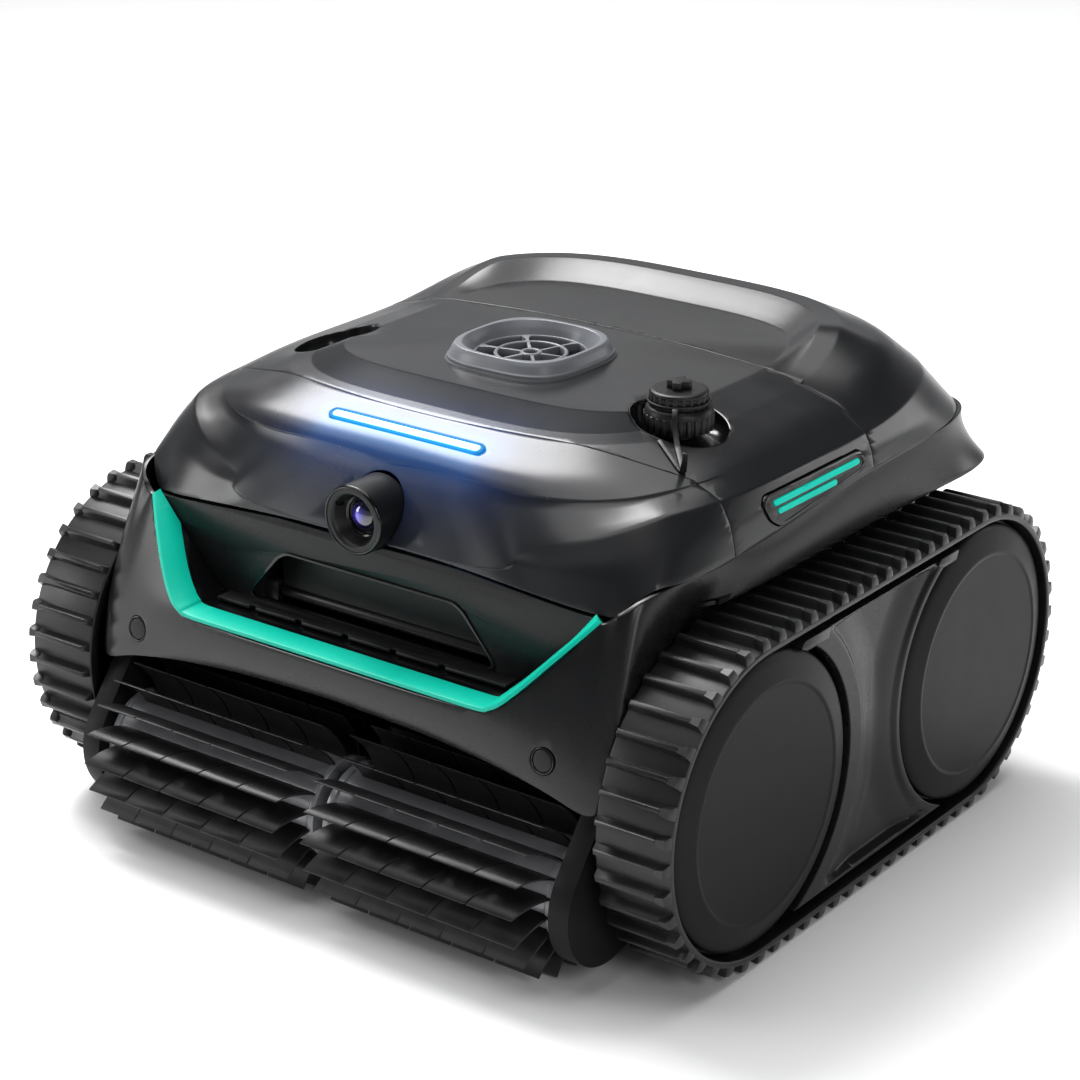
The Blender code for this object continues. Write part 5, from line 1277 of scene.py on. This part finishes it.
def blade_set(name, slant):
    bm = bmesh.new()
    lo, hi = X0 - min(0.0, slant), X1 - max(0.0, slant)
    width = (hi - lo) / SEGS
    for b in range(BLADES):
        angle = 2 * math.pi * b / BLADES + 0.06
        shift = ((b * 0.382) % 1.0) * 8.0 - 4.0
        for k in range(SEGS):
            left = lo + k * width + (0.0 if k == 0 else shift * 0.5) + 0.5
            right = lo + (k + 1) * width + (0.0 if k == SEGS - 1 else shift * 0.5) - 0.5
            blade_piece(bm, angle, left, right, slant)
    obj = from_bmesh(name, bm)
    return bevel(obj, 0.22, 1, 50)


blades = blade_set("blades", -SLANT)
mirror_of_left = blade_set("blades_left_source", SLANT)
blades_left = twin(mirror_of_left, "brush_blades_left")
bpy.data.objects.remove(mirror_of_left, do_unlink=True)
core = turned("core", rounded_profile([(5.0, 3.2), (28.6, 3.2), (28.6, 7.0), (27.6, 8.0), (27.6, 146.0), (28.6, 147.0), (28.6, 150.6), (5.0, 150.6)], 0.6, 3, True), "z", (0, 0, 0), 96)
core.data.transform(Matrix.Translation((0, BRUSH_Y * MM, BRUSH_Z * MM)) @ SIDEWAYS)
shaft = rod("shaft", "x", (BRUSH_Y, BRUSH_Z), 5.2, 120, 161.8, 40)
core_left = twin(core, "brush_core_left")
shaft_left = twin(shaft, "brush_shaft_left")
core.name, shaft.name, blades.name = "brush_core_right", "brush_shaft_right", "brush_blades_right"
for label, parts in (("right", (blades, core, shaft)), ("left", (blades_left, core_left, shaft_left))):
    done(parts[0], "brush_" + label, "brush_rubber", BRUSH, "brush_roller_" + label, angle=30)
    done(parts[1], "brush_" + label, "brush_rubber", CORE, angle=30)
    done(parts[2], "brush_" + label, "brush_rubber", BLACK, angle=30)

bracket = plate("brush_bracket_arm", [hull_of_two((BRUSH_Y, BRUSH_Z), 13.0, (-137.4, 79.0), 4.4, 24)], "x", -2.4, 2.4)
bevel(bracket, 0.6)
pin = rod("pin", "x", (BRUSH_Y, BRUSH_Z), 4.0, -15, 15, 40)
done(join("brush_bracket_arm", [bracket, pin]), "chassis", "black_plastic", BLACK, "brush_bracket")
for side_sign, label in ((1, "right"), (-1, "left")):
    cover = plate("gear_case_" + label, [hull_of_two((-WHEELBASE_HALF, AXLE_Z), 60.0, (BRUSH_Y, BRUSH_Z), 34.0, 40)], "x", *sorted((side_sign * 152.8, side_sign * 165.0)))
    bevel(cover, 1.6, 3)
    done(cover, "chassis", "black_plastic", MATTE, "gear_cover_" + label)

# ------------------------------------------------------------------ nodes kept as they are: better finishes
KEEP = {"battery_pack": GREY, "control_box": PUMP, "pump_motor": PUMP, "pump_duct": PUMP, "suction_duct": PUMP, "impeller": GREY,
        "filter_basket": GREY, "basket_flap": TEAL, "lid_hinge_pin": STEEL}
for label in ("left", "right"):
    KEEP.update({"drive_gear_" + label: GREY, "brush_gear_" + label: GREY, "drive_motor_" + label: PUMP, "rear_axle_" + label: STEEL})
for name, mat in KEEP.items():
    obj = NODES[name]
    obj.data.materials.clear()
    obj.data.materials.append(mat)
    smooth(obj, 30)

# ------------------------------------------------------------------ stage
floor_mesh = bpy.data.meshes.new("floor")
bm = bmesh.new()
bmesh.ops.create_grid(bm, x_segments=2, y_segments=2, size=8.0)
bmesh.ops.translate(bm, vec=(0, 0, -0.0002), verts=bm.verts)
bm.to_mesh(floor_mesh)
bm.free()
floor = link("studio_floor", floor_mesh)
floor_mat = bpy.data.materials.new("studio_floor")
floor_mat.use_nodes = True
floor_bsdf = floor_mat.node_tree.nodes["Principled BSDF"]
floor_bsdf.inputs["Base Color"].default_value = (0.90, 0.90, 0.90, 1)
floor_bsdf.inputs["Roughness"].default_value = 0.75
floor_bsdf.inputs["Specular IOR Level"].default_value = 0.15
floor_mesh.materials.append(floor_mat)

world = bpy.data.worlds.new("studio")
bpy.context.scene.world = world
world.use_nodes = True
wt = world.node_tree
background = wt.nodes["Background"]
coords = node(wt, "ShaderNodeTexCoord")
split = node(wt, "ShaderNodeSeparateXYZ")
wt.links.new(coords.outputs["Generated"], split.inputs[0])
ramp = node(wt, "ShaderNodeValToRGB")
ramp.color_ramp.elements[0].position = 0.0
ramp.color_ramp.elements[0].color = (0.80, 0.82, 0.84, 1)
ramp.color_ramp.elements[1].position = 1.0
ramp.color_ramp.elements[1].color = (0.9, 0.9, 0.92, 1)
for position, value in ((0.30, 0.40), (0.45, 0.10), (0.58, 0.06), (0.75, 0.12)):
    element = ramp.color_ramp.elements.new(position)
    element.color = (value, value * 1.01, value * 1.03, 1)
ramp.color_ramp.elements[0].color = (0.60, 0.61, 0.63, 1)
ramp.color_ramp.elements[-1].color = (0.35, 0.355, 0.36, 1)
wt.links.new(split.outputs[2], ramp.inputs[0])
wt.links.new(ramp.outputs[0], background.inputs["Color"])
background.inputs["Strength"].default_value = 0.6


def area(name, at, aim, size, size_y, power, color=(1, 1, 1)):
    light = bpy.data.lights.new(name, "AREA")
    light.shape = "RECTANGLE"
    light.size, light.size_y = size, size_y
    light.energy = power
    light.color = color
    obj = bpy.data.objects.new(name, light)
    obj.location = at
    obj.rotation_euler = (Vector(aim) - Vector(at)).to_track_quat("-Z", "Y").to_euler()
    SCENE.objects.link(obj)
    return obj


area("top_softbox", (-0.95, 0.30, 1.62), (0, 0, 0.15), 0.95, 1.05, 44)
area("back_panel", (-1.38, 1.84, 1.16), (0, 0, 0.2), 2.4, 0.55, 2.2)
area("right_softbox", (1.55, -0.95, 1.15), (0.1, -0.1, 0.15), 0.50, 0.50, 6.0)
area("rear_right_strip", (1.35, 2.2, 0.55), (0.17, 0.1, 0.2), 1.0, 0.5, 4.5)
area("left_strip", (-1.62, -1.32, 0.62), (0, 0, 0.15), 0.60, 0.9, 10)
area("fender_light", (1.99, -0.57, 0.67), (0.17, -0.13, 0.19), 0.45, 0.45, 3.5)
sun = bpy.data.lights.new("even_light", "SUN")
sun.energy = 2.4
sun.angle = math.radians(74)
sun.specular_factor = 0.25
sun_obj = bpy.data.objects.new("even_light", sun)
sun_obj.rotation_euler = (Vector((0.30, -0.05, -1.0))).to_track_quat("-Z", "Y").to_euler()
SCENE.objects.link(sun_obj)

camera_data = bpy.data.cameras.new("view")
camera_data.lens = 95.025
camera_data.sensor_width = 36.0
camera_data.clip_end = 100
camera = bpy.data.objects.new("view", camera_data)
azimuth, elevation = math.radians(36.876), math.radians(21.395)
back = Vector((math.sin(azimuth) * math.cos(elevation), -math.cos(azimuth) * math.cos(elevation), math.sin(elevation)))
camera.location = (0.8835, -1.1862 + ORIGIN_Y * MM, 0.7258)
camera.rotation_euler = (-back).to_track_quat("-Z", "Y").to_euler()
SCENE.objects.link(camera)
bpy.context.scene.camera = camera
bpy.context.scene.view_settings.view_transform = "Standard"
